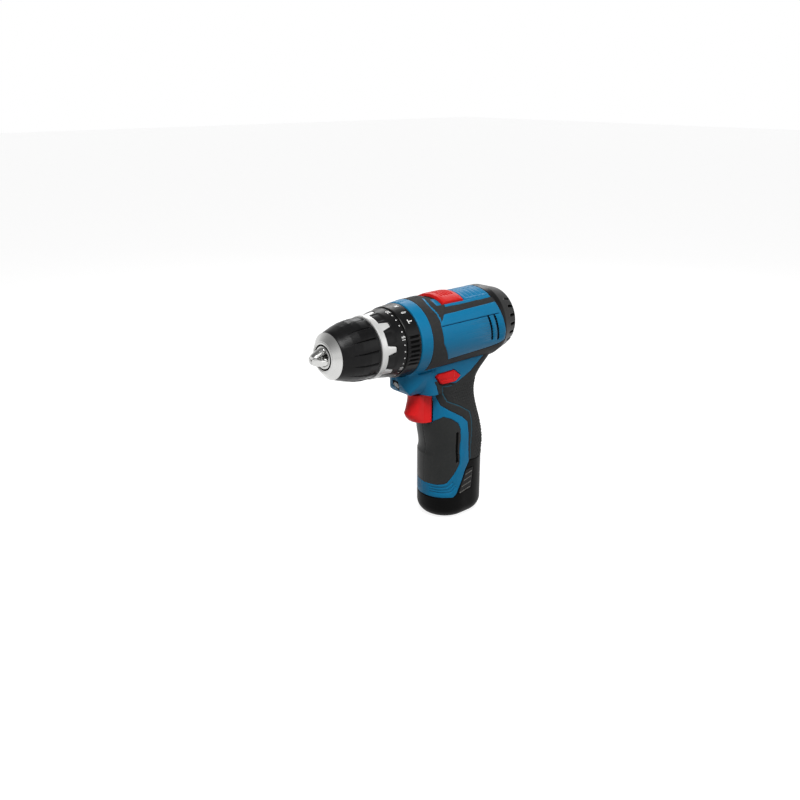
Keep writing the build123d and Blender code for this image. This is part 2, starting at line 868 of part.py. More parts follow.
with BuildPart() as rear_carrier:
    # the rim's dog teeth lock into the sliding ring gear in high gear
    gear(dog_x, dog_length, ring_teeth, 180 / ring_teeth)
    for index in range(planet_count):
        post(rear_planet_x - 0.4, dog_x - rear_planet_x + 0.4, planet_pin_radius,
             orbit(planet_orbit, index))
    gear(dog_x + dog_length, front_ring_length + 0.4, sun_teeth, 0)
save(rear_carrier.part, "rear_carrier")

with BuildPart() as front_ring_gear:
    post(front_ring_gear_x, front_ring_length, case_bore_radius - slide_gap)
    gear(front_ring_gear_x, front_ring_length, front_ring_teeth, 180 / front_ring_teeth,
         mode=Mode.SUBTRACT, internal=True)
save(front_ring_gear.part, "front_ring_gear")

for index in range(planet_count):
    with BuildPart() as front_planet:
        heading = 360 * index / planet_count
        gear(front_planet_x, front_planet_length, front_planet_teeth,
             heading + 180 + 180 / front_planet_teeth, orbit(front_planet_orbit, index))
        post(front_planet_x, front_planet_length, planet_pin_radius + running_gap,
             orbit(front_planet_orbit, index), mode=Mode.SUBTRACT)
    save(front_planet.part, f"front_planet_{index + 1}")

with BuildPart() as front_carrier:
    post(carrier_x, carrier_thickness, throat_radius - 0.5)
    for index in range(planet_count):
        post(front_planet_x - 0.3, carrier_x - front_planet_x + 0.3, planet_pin_radius,
             orbit(front_planet_orbit, index))
save(front_carrier.part, "front_carrier")

chuck_socket_x = chuck_x + 14.0
with BuildPart() as spindle:
    post(spindle_x, chuck_socket_x - spindle_x, spindle_radius)
save(spindle.part, "spindle")

# the two ratchets that make the hammer blow: one on the spindle, one in the case
ratchet_teeth = 12
with BuildPart() as spindle_ratchet:
    post(spindle_ratchet_x, ratchet_thickness, 12.0)
    with BuildSketch(spindle_plane(spindle_ratchet_x + ratchet_thickness)) as dogs:
        with PolarLocations(9.6, ratchet_teeth):
            Rectangle(4.0, 2.2)
    extrude(dogs.sketch, amount=ratchet_tooth_height)
    post(spindle_ratchet_x, 10, spindle_radius, mode=Mode.SUBTRACT)
save(spindle_ratchet.part, "spindle_ratchet")
with BuildPart() as case_ratchet:
    post(case_ratchet_x, ratchet_thickness, throat_radius)
    with BuildSketch(spindle_plane(case_ratchet_x)) as dogs:
        with PolarLocations(9.6, ratchet_teeth):
            Rectangle(4.0, 2.2)
    extrude(dogs.sketch, amount=-ratchet_tooth_height)
    post(case_ratchet_x - 5, 10, spindle_radius + 1.0, mode=Mode.SUBTRACT)
save(case_ratchet.part, "case_ratchet")

with BuildPart() as front_bearing:
    post(nose_tube_x - 6.0, 5.0, bearing_radius)
    post(nose_tube_x - 6.0, 5.0, spindle_radius + 0.02, mode=Mode.SUBTRACT)
save(front_bearing.part, "front_bearing")

# ---------------------------------------------------------------- torque clutch
washer_thickness = 1.2
with BuildPart() as clutch_pins:
    for index in range(clutch_pin_count):
        post(clutch_wall_x - 0.2, clutch_face_x - clutch_wall_x + 0.5, clutch_pin_radius,
             orbit(clutch_pin_circle, index, clutch_pin_count))
save(clutch_pins.part, "clutch_pins")

washer_x = clutch_face_x + 0.3
with BuildPart() as clutch_washer:
    post(washer_x, washer_thickness, torque_bore_radius - 0.4)
    post(washer_x, washer_thickness, nose_tube_radius + slide_gap, mode=Mode.SUBTRACT)
save(clutch_washer.part, "clutch_washer")

spring_x = washer_x + washer_thickness + clutch_wire_radius + 0.02
spring_pitch = 2.5
nut_x = spring_x + clutch_spring_turns * spring_pitch + clutch_wire_radius + 0.02
nut_thickness = 3.0
with BuildPart() as clutch_spring:
    with BuildLine() as coil:
        Helix(spring_pitch, clutch_spring_turns * spring_pitch, clutch_spring_radius,
              center=(spring_x, 0, spindle_height), direction=(1, 0, 0))
    with BuildSketch(Plane(origin=coil.line @ 0, z_dir=coil.line % 0)) as wire:
        Circle(clutch_wire_radius)
    sweep(wire.sketch, path=coil.line, is_frenet=True)
save(clutch_spring.part, "clutch_spring")

with BuildPart() as clutch_nut:
    post(nut_x, nut_thickness, torque_bore_radius - 0.2)
    with BuildSketch(spindle_plane(nut_x)) as keys:
        with PolarLocations(torque_bore_radius - 1.0, 3):
            Rectangle(4.4, 3.0)
    extrude(keys.sketch, amount=nut_thickness)
    post(nut_x, nut_thickness, nose_tube_radius + running_gap, mode=Mode.SUBTRACT)
save(clutch_nut.part, "clutch_nut")

# ---------------------------------------------------------------- rings
with BuildPart() as mode_ring:
    turn(
        (mode_ring_x, case_bore_radius + running_gap),
        (mode_ring_x, mode_ring_radius),
        (mode_ring_x + mode_ring_length, mode_ring_radius - 1.0),
        (mode_ring_x + mode_ring_length, case_bore_radius + running_gap),
    )
save(mode_ring.part, "mode_ring")

lug_root_x = index_ring_x
with BuildPart() as index_lugs:
    with BuildSketch(Plane.XY.offset(spindle_height)) as lug:
        with BuildLine():
            Polyline(
                (lug_root_x, -5.2), (lug_root_x, 5.2),
                (lug_root_x - index_lug_length, 2.2), (lug_root_x - index_lug_length, -2.2),
                close=True,
            )
        make_face()
    extrude(lug.sketch, amount=40)
    turn(
        (lug_root_x - 10, 0),
        (lug_root_x - 10, torque_ring_front_radius - index_lug_depth),
        (lug_root_x + 1, torque_ring_front_radius - index_lug_depth),
        (lug_root_x + 1, 0), mode=Mode.SUBTRACT,
    )
    turn(
        (lug_root_x - 10, 0), (lug_root_x - 10, torque_ring_front_radius + 1.1),
        (lug_root_x, torque_ring_front_radius), (lug_root_x + 1, 0), mode=Mode.INTERSECT,
    )
lug_solid = index_lugs.part
lugs = [
    lug_solid.rotate(spindle_axis, 5 + 360 * index / index_lug_count)
    for index in range(index_lug_count)
]

with BuildPart() as torque_ring:
    turn(
        (torque_ring_x, case_bore_radius + slide_gap),
        (torque_ring_x, torque_ring_radius),
        (index_ring_x - 13.5, torque_ring_radius - 0.7),
        (index_ring_x, torque_ring_front_radius),
        (index_ring_x, torque_bore_radius),
        (clutch_face_x + 0.3, torque_bore_radius),
        (clutch_face_x + 0.3, case_bore_radius + slide_gap),
    )
    with BuildSketch(spindle_plane(clutch_face_x)) as keyways:
        with PolarLocations(torque_bore_radius - 1.0, 3):
            Rectangle(4.8, 3.3)
    extrude(keyways.sketch, amount=index_ring_x - clutch_face_x, mode=Mode.SUBTRACT)
    for lug_piece in lugs:
        add(lug_piece, mode=Mode.SUBTRACT)
save(torque_ring.part, "torque_ring")

with BuildPart() as index_ring:
    turn(
        (index_ring_x, nose_tube_radius + slide_gap),
        (index_ring_x, torque_ring_front_radius),
        (index_ring_x + index_ring_length, torque_ring_front_radius - 0.2),
        (index_ring_x + index_ring_length, nose_tube_radius + slide_gap),
    )
    for lug_piece in lugs:
        add(lug_piece)
save(index_ring.part, "index_ring")

# ---------------------------------------------------------------- chuck
tilt = radians(jaw_tilt)
nut_ring_x = chuck_x + 12.6
nut_ring_length = 6.0


def jaw_axis_radius(x):
    """How far a jaw's own axis lies from the spindle axis at x."""
    return jaw_tip_axis_radius + (jaw_tip_x - x) * tan(tilt)


def jaw_plane(x, index):
    """The plane square to one jaw's axis, centred on it at x, facing forward."""
    angle = radians(90 + 360 * index / 3)
    outward = Vector(0, cos(angle), sin(angle))
    radius = jaw_axis_radius(x)
    origin = Vector(x, 0, spindle_height) + outward * radius
    heading = Vector(cos(tilt), 0, 0) - outward * sin(tilt)
    return Plane(origin=origin, z_dir=heading)


sleeve_bore = chuck_radius - sleeve_wall
body_rim_radius = sleeve_bore - 1.5
neck_radius = 10.9
nut_ring_bore = jaw_axis_radius(nut_ring_x) + jaw_radius / cos(tilt) + body_gap

with BuildPart() as chuck_body:
    turn(
        (chuck_x + 0.8, spindle_radius),
        (chuck_x + 0.8, body_rim_radius),
        (nut_ring_x - 0.2, body_rim_radius),
        (nut_ring_x - 0.2, neck_radius),
        (nut_ring_x + nut_ring_length + 0.2, neck_radius),
        (nut_ring_x + nut_ring_length + 0.2, chuck_core_radius),
        (nose_x - nose_length, chuck_core_radius),
        (nose_x - nose_length, sleeve_front_radius - 0.2),
        (nose_x, nose_radius),
        (nose_x, 8.2),
        (nose_x - 0.8, 7.6),
        (nose_x - 1.4, nose_bore_radius),
        (chuck_socket_x, nose_bore_radius),
        (chuck_socket_x, spindle_radius),
    )
    for index in range(3):
        with BuildSketch(jaw_plane(chuck_x + 1.6, index)) as bore:
            Circle(jaw_radius + 0.08)
        extrude(bore.sketch, amount=60, mode=Mode.SUBTRACT)
save(chuck_body.part, "chuck_body")

jaw_rear_x = jaw_tip_x - jaw_length * cos(tilt)
for index in range(3):
    with BuildPart() as jaw:
        with BuildSketch(jaw_plane(jaw_rear_x, index)) as bar:
            Circle(jaw_radius)
        extrude(bar.sketch, amount=jaw_length + 6)
        # the three jaws share the space round the axis in equal wedges
        angle = 90 + 360 * index / 3
        reach = 30.0
        with BuildSketch(spindle_plane(jaw_rear_x - 5)) as wedge:
            with BuildLine():
                Polyline(
                    (0.12 * cos(radians(angle)), 0.12 * sin(radians(angle))),
                    (reach * cos(radians(angle - 59.5)), reach * sin(radians(angle - 59.5))),
                    (2 * reach * cos(radians(angle)), 2 * reach * sin(radians(angle))),
                    (reach * cos(radians(angle + 59.5)), reach * sin(radians(angle + 59.5))),
                    close=True,
                )
            make_face()
        extrude(wedge.sketch, amount=60, mode=Mode.INTERSECT)
        turn(
            (jaw_rear_x - 5, 0), (jaw_rear_x - 5, 30), (jaw_tip_x - 8, 30), (jaw_tip_x - 8, 7.2),
            (jaw_tip_x - 1.6, 4.0), (jaw_tip_x, 2.9), (jaw_tip_x, 0), mode=Mode.INTERSECT,
        )
        post(jaw_rear_x - 5, 60, bit_radius, mode=Mode.SUBTRACT)
    save(jaw.part, f"jaw_{index + 1}")

with BuildPart() as chuck_sleeve:
    turn(
        (chuck_x, chuck_radius - 0.8),
        (chuck_x + 0.8, chuck_radius),
        (chuck_x + sleeve_straight, chuck_radius),
        (nose_x - nose_length - 1.0, sleeve_front_radius + 0.3),
        (nose_x - nose_length - body_gap, sleeve_front_radius - 0.3),
        (nose_x - nose_length - body_gap, chuck_core_radius + slide_gap),
        (nut_ring_x + nut_ring_length, chuck_core_radius + slide_gap),
        (nut_ring_x + nut_ring_length, sleeve_bore),
        (chuck_x, sleeve_bore),
    )
    flute_count = 18
    with BuildSketch(spindle_plane(chuck_x + 2.0)) as flutes:
        with PolarLocations(chuck_radius + 0.5, flute_count):
            Rectangle(2.0, 1.0)
    extrude(flutes.sketch, amount=17, mode=Mode.SUBTRACT)
save(chuck_sleeve.part, "chuck_sleeve")

with BuildPart() as chuck_nut:
    turn(
        (nut_ring_x, nut_ring_bore), (nut_ring_x, sleeve_bore),
        (nut_ring_x + nut_ring_length, sleeve_bore), (nut_ring_x + nut_ring_length, nut_ring_bore),
    )
save(chuck_nut.part, "chuck_nut")

# ---------------------------------------------------------------- controls
with BuildPart() as gear_selector:
    turn(
        (selector_rear_x, selector_floor + 0.1),
        (selector_rear_x + 1.0, head_radius + 0.5),
        (selector_rear_x + 4.0, head_radius + 0.9),
        (selector_front_x - 4.0, head_radius + 0.9),
        (selector_front_x - 1.0, head_radius + 0.5),
        (selector_front_x, selector_floor + 0.1),
    )
    block(-10, 60, -selector_half_width, selector_half_width, spindle_height, top_z,
          mode=Mode.INTERSECT)
save(gear_selector.part, "gear_selector")

with BuildPart() as selector_slide:
    block(*slide_plate_x, -slide_half_width, slide_half_width, *slide_plate_z)
    block(riser_x, riser_x + riser_length, -riser_half_width, riser_half_width,
          slide_plate_z[1], level(selector_floor - 0.1))
    block(groove_x + 0.2, groove_x + groove_width - 0.2, -riser_half_width, riser_half_width,
          level(groove_floor + 0.2), slide_plate_z[0])
save(selector_slide.part, "selector_slide")

trigger_rear_x = 26.5
trigger_low_z = trigger_foot_z + 1.1
plunger_radius = 2.6
plunger_z = level(-55.0)
with BuildPart() as trigger:
    with BuildSketch(Plane.XZ) as side:
        with BuildLine():
            Polyline((33.8, trigger_low_z), (trigger_rear_x, trigger_low_z - 0.3),
                     (trigger_rear_x, trigger_top_z), (40.6, trigger_top_z))
            ThreePointArc((40.6, trigger_top_z), (40.2, level(-52.4)), (42.8, level(-59.6)))
            ThreePointArc((42.8, level(-59.6)), (40.2, level(-65.0)), (33.8, trigger_low_z))
        make_face()
    extrude(side.sketch, amount=trigger_half_width, both=True)
    post_plane = Plane(origin=(trigger_pocket_x, 0, plunger_z), x_dir=(0, 1, 0), z_dir=(1, 0, 0))
    with BuildSketch(post_plane) as plunger:
        Circle(plunger_radius)
    extrude(plunger.sketch, amount=trigger_rear_x - trigger_pocket_x)
save(trigger.part, "trigger")

switch_front_x = switch_x[1]
with BuildPart() as switch_module:
    block(*switch_x, -switch_half_width, switch_half_width, *switch_z)
    with BuildSketch(Plane.YZ.offset(switch_front_x - 8)) as bore:
        with Locations((0, plunger_z)):
            Circle(plunger_radius + 0.15)
    extrude(bore.sketch, amount=10, mode=Mode.SUBTRACT)
save(switch_module.part, "switch_module")

trigger_wire = 0.35
trigger_spring_radius = 4.0
trigger_spring_turns = 4
with BuildPart() as trigger_spring:
    spring_length = trigger_rear_x - switch_front_x - 2 * trigger_wire - 0.1
    with BuildLine() as coil:
        Helix(spring_length / trigger_spring_turns, spring_length, trigger_spring_radius,
              center=(switch_front_x + trigger_wire + 0.05, 0, plunger_z), direction=(1, 0, 0))
    with BuildSketch(Plane(origin=coil.line @ 0, z_dir=coil.line % 0)) as wire:
        Circle(trigger_wire)
    sweep(wire.sketch, path=coil.line, is_frenet=True)
save(trigger_spring.part, "trigger_spring")

lever_form = housing_form(-lever_proud)
with BuildPart() as direction_lever:
    across(*lever_outline)
    add(lever_form, mode=Mode.INTERSECT)
    block(14, 18, -3, 3, switch_z[1] + 0.2, level(-35))
save(direction_lever.part, "direction_lever")

# ---------------------------------------------------------------- battery
cell_orbit = cell_spacing / sqrt(3)
cell_centre_x = -1.0
cell_places = [
    (cell_centre_x + cell_orbit / 2, cell_spacing / 2),
    (cell_centre_x + cell_orbit / 2, -cell_spacing / 2),
    (cell_centre_x - cell_orbit, 0),
]
with BuildPart() as cell_space:
    with BuildSketch(Plane.XY.offset(cell_floor)) as rounds:
        with Locations(*cell_places):
            Circle(cell_radius + running_gap)
    extrude(rounds.sketch, amount=cell_length + cell_slack)

with BuildPart() as battery_foot:
    with BuildSketch() as foot:
        SlotOverall(2 * grip_half_depth, 2 * grip_half_width)
    extrude(foot.sketch, amount=60)
    fillet(edges().group_by(Axis.Z)[0], radius=foot_round)
    add(foot_zone, mode=Mode.INTERSECT)
    add(cell_space.part, mode=Mode.SUBTRACT)

button_proud = 0.3
button_outline = [(10.2, 22.6), (2.6, 40.4), (-5.0, 41.2), (-3.0, 23.6)]
button_floor = grip_half_width - 2.7
with BuildPart() as button_pockets:
    with BuildSketch(Plane.XZ) as pocket:
        with BuildLine():
            Polyline(*button_outline, close=True)
        make_face()
        offset(amount=body_gap)
    extrude(pocket.sketch, amount=40, both=True)
    block(-30, 30, -button_floor, button_floor, 0, 60, mode=Mode.SUBTRACT)
with BuildPart() as battery_base:
    add(battery_foot.part)
    add(button_pockets.part, mode=Mode.SUBTRACT)
save(battery_base.part, "battery_base")

for side, name in ((1, "left_release_button"), (-1, "right_release_button")):
    near = side * (button_floor + button_travel + 0.2)
    with BuildPart() as release_button:
        across(*button_outline)
        block(-30, 30, min(near, side * (grip_half_width + button_proud)),
              max(near, side * (grip_half_width + button_proud)), 0, 60, mode=Mode.INTERSECT)
    save(release_button.part, name)

with BuildPart() as battery_stick:
    with BuildSketch() as hull:
        with Locations(*cell_places):
            Circle(cell_radius + stick_wall)
        make_hull()
    extrude(hull.sketch, amount=stick_top)
    add(foot_zone, mode=Mode.SUBTRACT)
    add(cell_space.part, mode=Mode.SUBTRACT)
save(battery_stick.part, "battery_stick")

with BuildPart() as battery_cells:
    with BuildSketch(Plane.XY.offset(cell_floor)) as rounds:
        with Locations(*cell_places):
            Circle(cell_radius)
    extrude(rounds.sketch, amount=cell_length)
save(battery_cells.part, "battery_cells")

terminal_rows = (-6.0, -2.0, 2.0, 6.0)
with BuildPart() as battery_contacts:
    for y in terminal_rows:
        block(-1.0, 5.0, y - 0.4, y + 0.4, stick_top, stick_top + 1.2)
save(battery_contacts.part, "battery_contacts")

with BuildPart() as terminal_block:
    block(-4.5, 12, -30, 30, stick_top + 1.5, stick_top + 7.0)
    add(inner_form, mode=Mode.INTERSECT)
save(terminal_block.part, "terminal_block")
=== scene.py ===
"""Looks of a cordless drill driver: moulded shells with rubber grips, printed rings, a keyless
chuck and a stick battery. Metres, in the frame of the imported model: +X runs forward along the
spindle, +Y is the left side and +Z is up."""
import json
from math import cos, pi, radians, sin

import bmesh
import bpy
import numpy as np
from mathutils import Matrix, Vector


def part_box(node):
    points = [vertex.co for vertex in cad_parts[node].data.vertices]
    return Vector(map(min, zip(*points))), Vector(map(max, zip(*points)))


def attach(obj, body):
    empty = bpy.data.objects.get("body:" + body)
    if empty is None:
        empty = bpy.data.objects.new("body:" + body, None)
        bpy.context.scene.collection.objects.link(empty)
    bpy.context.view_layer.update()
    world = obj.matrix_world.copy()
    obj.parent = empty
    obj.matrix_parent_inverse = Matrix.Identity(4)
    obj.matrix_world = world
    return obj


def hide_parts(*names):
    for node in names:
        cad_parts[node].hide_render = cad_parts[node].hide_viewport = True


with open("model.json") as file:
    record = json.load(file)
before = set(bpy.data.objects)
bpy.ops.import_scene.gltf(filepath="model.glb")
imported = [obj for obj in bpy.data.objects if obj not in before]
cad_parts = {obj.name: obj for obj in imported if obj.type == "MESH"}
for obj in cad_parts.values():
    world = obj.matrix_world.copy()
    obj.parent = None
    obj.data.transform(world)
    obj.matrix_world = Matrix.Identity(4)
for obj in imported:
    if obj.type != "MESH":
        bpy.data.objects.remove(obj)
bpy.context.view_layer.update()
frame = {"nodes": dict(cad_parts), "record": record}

MM = 0.001
record = frame["record"]
nodes = frame["nodes"]
mounts = {mount["name"]: mount for mount in record["mounts"]}


def span(name):
    """A node's lowest and highest corners, in millimetres."""
    low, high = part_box(name)
    return np.array(low) / MM, np.array(high) / MM


spindle_z = mounts["chuck_grip"]["pos_m"][2] / MM
head_radius = span("left_shell")[1][1]
mode_low, mode_high = span("mode_ring")
torque_low, torque_high = span("torque_ring")
index_high = span("index_ring")[1]
sleeve_low, sleeve_high = span("chuck_sleeve")
nose_high = span("chuck_body")[1]


# ---------------------------------------------------------------- node groups
def group(name, inputs, outputs):
    """A shader node group with named sockets, its input node and its output node."""
    tree = bpy.data.node_groups.new(name, "ShaderNodeTree")
    for label, kind, value in inputs:
        socket = tree.interface.new_socket(label, in_out="INPUT", socket_type=kind)
        socket.default_value = value
    for label, kind in outputs:
        tree.interface.new_socket(label, in_out="OUTPUT", socket_type=kind)
    return tree, tree.nodes.new("NodeGroupInput"), tree.nodes.new("NodeGroupOutput")


def node(tree, kind, **settings):
    """A node in a tree, with its settings; a setting named after a socket fills that socket."""
    made = tree.nodes.new(kind)
    for key, value in settings.items():
        if hasattr(made, key):
            setattr(made, key, value)
        else:
            made.inputs[key].default_value = value
    return made


def math(tree, operation, first, second):
    """A math node fed by sockets or plain numbers."""
    made = node(tree, "ShaderNodeMath", operation=operation)
    for index, value in enumerate((first, second)):
        if isinstance(value, (int, float)):
            made.inputs[index].default_value = value
        else:
            tree.links.new(value, made.inputs[index])
    return made.outputs[0]


def blend_colour(tree, mode, factor, first, second):
    """A colour mix of two sockets or colours, with its factor as a socket or number."""
    made = node(tree, "ShaderNodeMix", data_type="RGBA", blend_type=mode)
    for index, value in ((0, factor), (6, first), (7, second)):
        if isinstance(value, bpy.types.NodeSocket):
            tree.links.new(value, made.inputs[index])
        else:
            made.inputs[index].default_value = value
    return made.outputs[2]


def make_grain():
    """Fine spark-eroded texture of moulded plastic, as a height."""
    tree, start, end = group(
        "mould_grain",
        [("Scale", "NodeSocketFloat", 1500.0), ("Depth", "NodeSocketFloat", 1.0)],
        [("Height", "NodeSocketFloat")],
    )
    place = node(tree, "ShaderNodeTexCoord")
    fine = node(tree, "ShaderNodeTexNoise", Detail=2.0, Roughness=0.6)
    cells = node(tree, "ShaderNodeTexVoronoi")
    for texture in (fine, cells):
        tree.links.new(place.outputs["Object"], texture.inputs["Vector"])
        tree.links.new(start.outputs["Scale"], texture.inputs["Scale"])
    both = math(tree, "ADD", fine.outputs["Fac"], cells.outputs["Distance"])
    tree.links.new(math(tree, "MULTIPLY", both, start.outputs["Depth"]), end.inputs["Height"])
    return tree


def make_drift():
    """Slow change of tone and shine over a surface, from handling and moulding flow."""
    tree, start, end = group(
        "tone_drift",
        [
            ("Colour", "NodeSocketColor", (0.5, 0.5, 0.5, 1)),
            ("Worn Colour", "NodeSocketColor", (0.6, 0.6, 0.6, 1)),
            ("Scale", "NodeSocketFloat", 60.0),
            ("Amount", "NodeSocketFloat", 0.3),
            ("Rough Low", "NodeSocketFloat", 0.35),
            ("Rough High", "NodeSocketFloat", 0.5),
        ],
        [("Colour", "NodeSocketColor"), ("Roughness", "NodeSocketFloat")],
    )
    place = node(tree, "ShaderNodeTexCoord")
    cloud = node(tree, "ShaderNodeTexNoise", Detail=4.0, Roughness=0.55)
    tree.links.new(place.outputs["Object"], cloud.inputs["Vector"])
    tree.links.new(start.outputs["Scale"], cloud.inputs["Scale"])
    share = math(tree, "MULTIPLY", cloud.outputs["Fac"], start.outputs["Amount"])
    tone = blend_colour(
        tree, "MIX", share, start.outputs["Colour"], start.outputs["Worn Colour"]
    )
    tree.links.new(tone, end.inputs["Colour"])
    ramp = node(tree, "ShaderNodeMapRange")
    tree.links.new(cloud.outputs["Fac"], ramp.inputs["Value"])
    tree.links.new(start.outputs["Rough Low"], ramp.inputs["To Min"])
    tree.links.new(start.outputs["Rough High"], ramp.inputs["To Max"])
    tree.links.new(ramp.outputs["Result"], end.inputs["Roughness"])
    return tree


def make_edge_wear():
    """Corners rubbed lighter, found by the surface's own sharpness."""
    tree, start, end = group(
        "edge_wear",
        [
            ("Colour", "NodeSocketColor", (0.5, 0.5, 0.5, 1)),
            ("Edge Colour", "NodeSocketColor", (0.8, 0.8, 0.8, 1)),
            ("Amount", "NodeSocketFloat", 0.5),
        ],
        [("Colour", "NodeSocketColor")],
    )
    place = node(tree, "ShaderNodeTexCoord")
    shape = node(tree, "ShaderNodeNewGeometry")
    sharp = node(tree, "ShaderNodeMapRange")
    sharp.inputs["From Min"].default_value = 0.52
    sharp.inputs["From Max"].default_value = 0.64
    tree.links.new(shape.outputs["Pointiness"], sharp.inputs["Value"])
    scuff = node(tree, "ShaderNodeTexNoise", Scale=220.0, Detail=5.0)
    tree.links.new(place.outputs["Object"], scuff.inputs["Vector"])
    broken = math(tree, "MULTIPLY", sharp.outputs["Result"], scuff.outputs["Fac"])
    mask = math(tree, "MULTIPLY", broken, start.outputs["Amount"])
    tone = blend_colour(
        tree, "MIX", mask, start.outputs["Colour"], start.outputs["Edge Colour"]
    )
    tree.links.new(tone, end.inputs["Colour"])
    return tree


def make_dust():
    """Thin pale dust that settles in low spots and in scattered specks."""
    tree, start, end = group(
        "workshop_dust",
        [
            ("Colour", "NodeSocketColor", (0.5, 0.5, 0.5, 1)),
            ("Amount", "NodeSocketFloat", 0.1),
        ],
        [("Colour", "NodeSocketColor")],
    )
    place = node(tree, "ShaderNodeTexCoord")
    specks = node(tree, "ShaderNodeTexNoise", Scale=420.0, Detail=6.0, Roughness=0.75)
    tree.links.new(place.outputs["Object"], specks.inputs["Vector"])
    shape = node(tree, "ShaderNodeNewGeometry")
    hollow = node(tree, "ShaderNodeMapRange")
    hollow.inputs["From Min"].default_value = 0.5
    hollow.inputs["From Max"].default_value = 0.4
    tree.links.new(shape.outputs["Pointiness"], hollow.inputs["Value"])
    spots = node(tree, "ShaderNodeMapRange")
    spots.inputs["From Min"].default_value = 0.5
    spots.inputs["From Max"].default_value = 0.75
    tree.links.new(specks.outputs["Fac"], spots.inputs["Value"])
    both = math(tree, "MAXIMUM", spots.outputs["Result"], hollow.outputs["Result"])
    mask = math(tree, "MULTIPLY", both, start.outputs["Amount"])
    dust = (0.42, 0.39, 0.35, 1)
    tree.links.new(
        blend_colour(tree, "MIX", mask, start.outputs["Colour"], dust), end.inputs["Colour"]
    )
    return tree


def make_brushing():
    """Fine lathe lines round the spindle axis, as a height."""
    tree, start, end = group(
        "lathe_lines",
        [("Scale", "NodeSocketFloat", 3000.0), ("Depth", "NodeSocketFloat", 1.0)],
        [("Height", "NodeSocketFloat")],
    )
    place = node(tree, "ShaderNodeTexCoord")
    stretch = node(tree, "ShaderNodeMapping")
    stretch.inputs["Scale"].default_value = (1.0, 0.02, 0.02)
    tree.links.new(place.outputs["Object"], stretch.inputs["Vector"])
    lines = node(tree, "ShaderNodeTexNoise", Detail=3.0, Roughness=0.7)
    tree.links.new(stretch.outputs["Vector"], lines.inputs["Vector"])
    tree.links.new(start.outputs["Scale"], lines.inputs["Scale"])
    deep = math(tree, "MULTIPLY", lines.outputs["Fac"], start.outputs["Depth"])
    tree.links.new(deep, end.inputs["Height"])
    return tree


grain_group = make_grain()
drift_group = make_drift()
wear_group = make_edge_wear()
dust_group = make_dust()
lathe_group = make_brushing()


# ---------------------------------------------------------------- materials
def use(tree, shared, **values):
    """A shared effect placed in a material with its own values."""
    made = node(tree, "ShaderNodeGroup", node_tree=shared)
    for label, value in values.items():
        made.inputs[label.replace("_", " ")].default_value = value
    return made


def finish(name, colour, worn, rough, grain=(1500.0, 0.05), edge=0.3, edge_colour=None,
           dust=0.06, drift_scale=60.0, **shader_values):
    """A moulded or cast finish: tone drift, rubbed edges, dust and a fine grain."""
    material = bpy.data.materials.new(name)
    material.use_nodes = True
    tree = material.node_tree
    shader = tree.nodes["Principled BSDF"]
    drift = use(tree, drift_group, Colour=(*colour, 1), Worn_Colour=(*worn, 1),
                Scale=drift_scale, Amount=0.6, Rough_Low=rough[0], Rough_High=rough[1])
    wear = use(tree, wear_group, Edge_Colour=(*(edge_colour or worn), 1), Amount=edge)
    film = use(tree, dust_group, Amount=dust)
    tree.links.new(drift.outputs["Colour"], wear.inputs["Colour"])
    tree.links.new(wear.outputs["Colour"], film.inputs["Colour"])
    tree.links.new(film.outputs["Colour"], shader.inputs["Base Color"])
    tree.links.new(drift.outputs["Roughness"], shader.inputs["Roughness"])
    texture = use(tree, grain_group, Scale=grain[0], Depth=1.0)
    bump = node(tree, "ShaderNodeBump", Strength=1.0)
    bump.inputs["Distance"].default_value = grain[1] * MM
    tree.links.new(texture.outputs["Height"], bump.inputs["Height"])
    tree.links.new(bump.outputs["Normal"], shader.inputs["Normal"])
    for label, value in shader_values.items():
        shader.inputs[label.replace("_", " ")].default_value = value
    return material


def turned(name, colour, rough, lines=(3000.0, 0.02), **shader_values):
    """A machined metal finish with lathe lines."""
    material = bpy.data.materials.new(name)
    material.use_nodes = True
    tree = material.node_tree
    shader = tree.nodes["Principled BSDF"]
    shader.inputs["Metallic"].default_value = 1.0
    drift = use(tree, drift_group, Colour=(*colour, 1), Worn_Colour=(*[c * 0.8 for c in colour], 1),
                Scale=90.0, Amount=0.5, Rough_Low=rough[0], Rough_High=rough[1])
    wear = use(tree, wear_group, Edge_Colour=(*[min(1, c * 1.25) for c in colour], 1), Amount=0.6)
    tree.links.new(drift.outputs["Colour"], wear.inputs["Colour"])
    tree.links.new(wear.outputs["Colour"], shader.inputs["Base Color"])
    tree.links.new(drift.outputs["Roughness"], shader.inputs["Roughness"])
    cuts = use(tree, lathe_group, Scale=lines[0], Depth=1.0)
    bump = node(tree, "ShaderNodeBump", Strength=1.0)
    bump.inputs["Distance"].default_value = lines[1] * MM
    tree.links.new(cuts.outputs["Height"], bump.inputs["Height"])
    tree.links.new(bump.outputs["Normal"], shader.inputs["Normal"])
    for label, value in shader_values.items():
        shader.inputs[label.replace("_", " ")].default_value = value
    return material


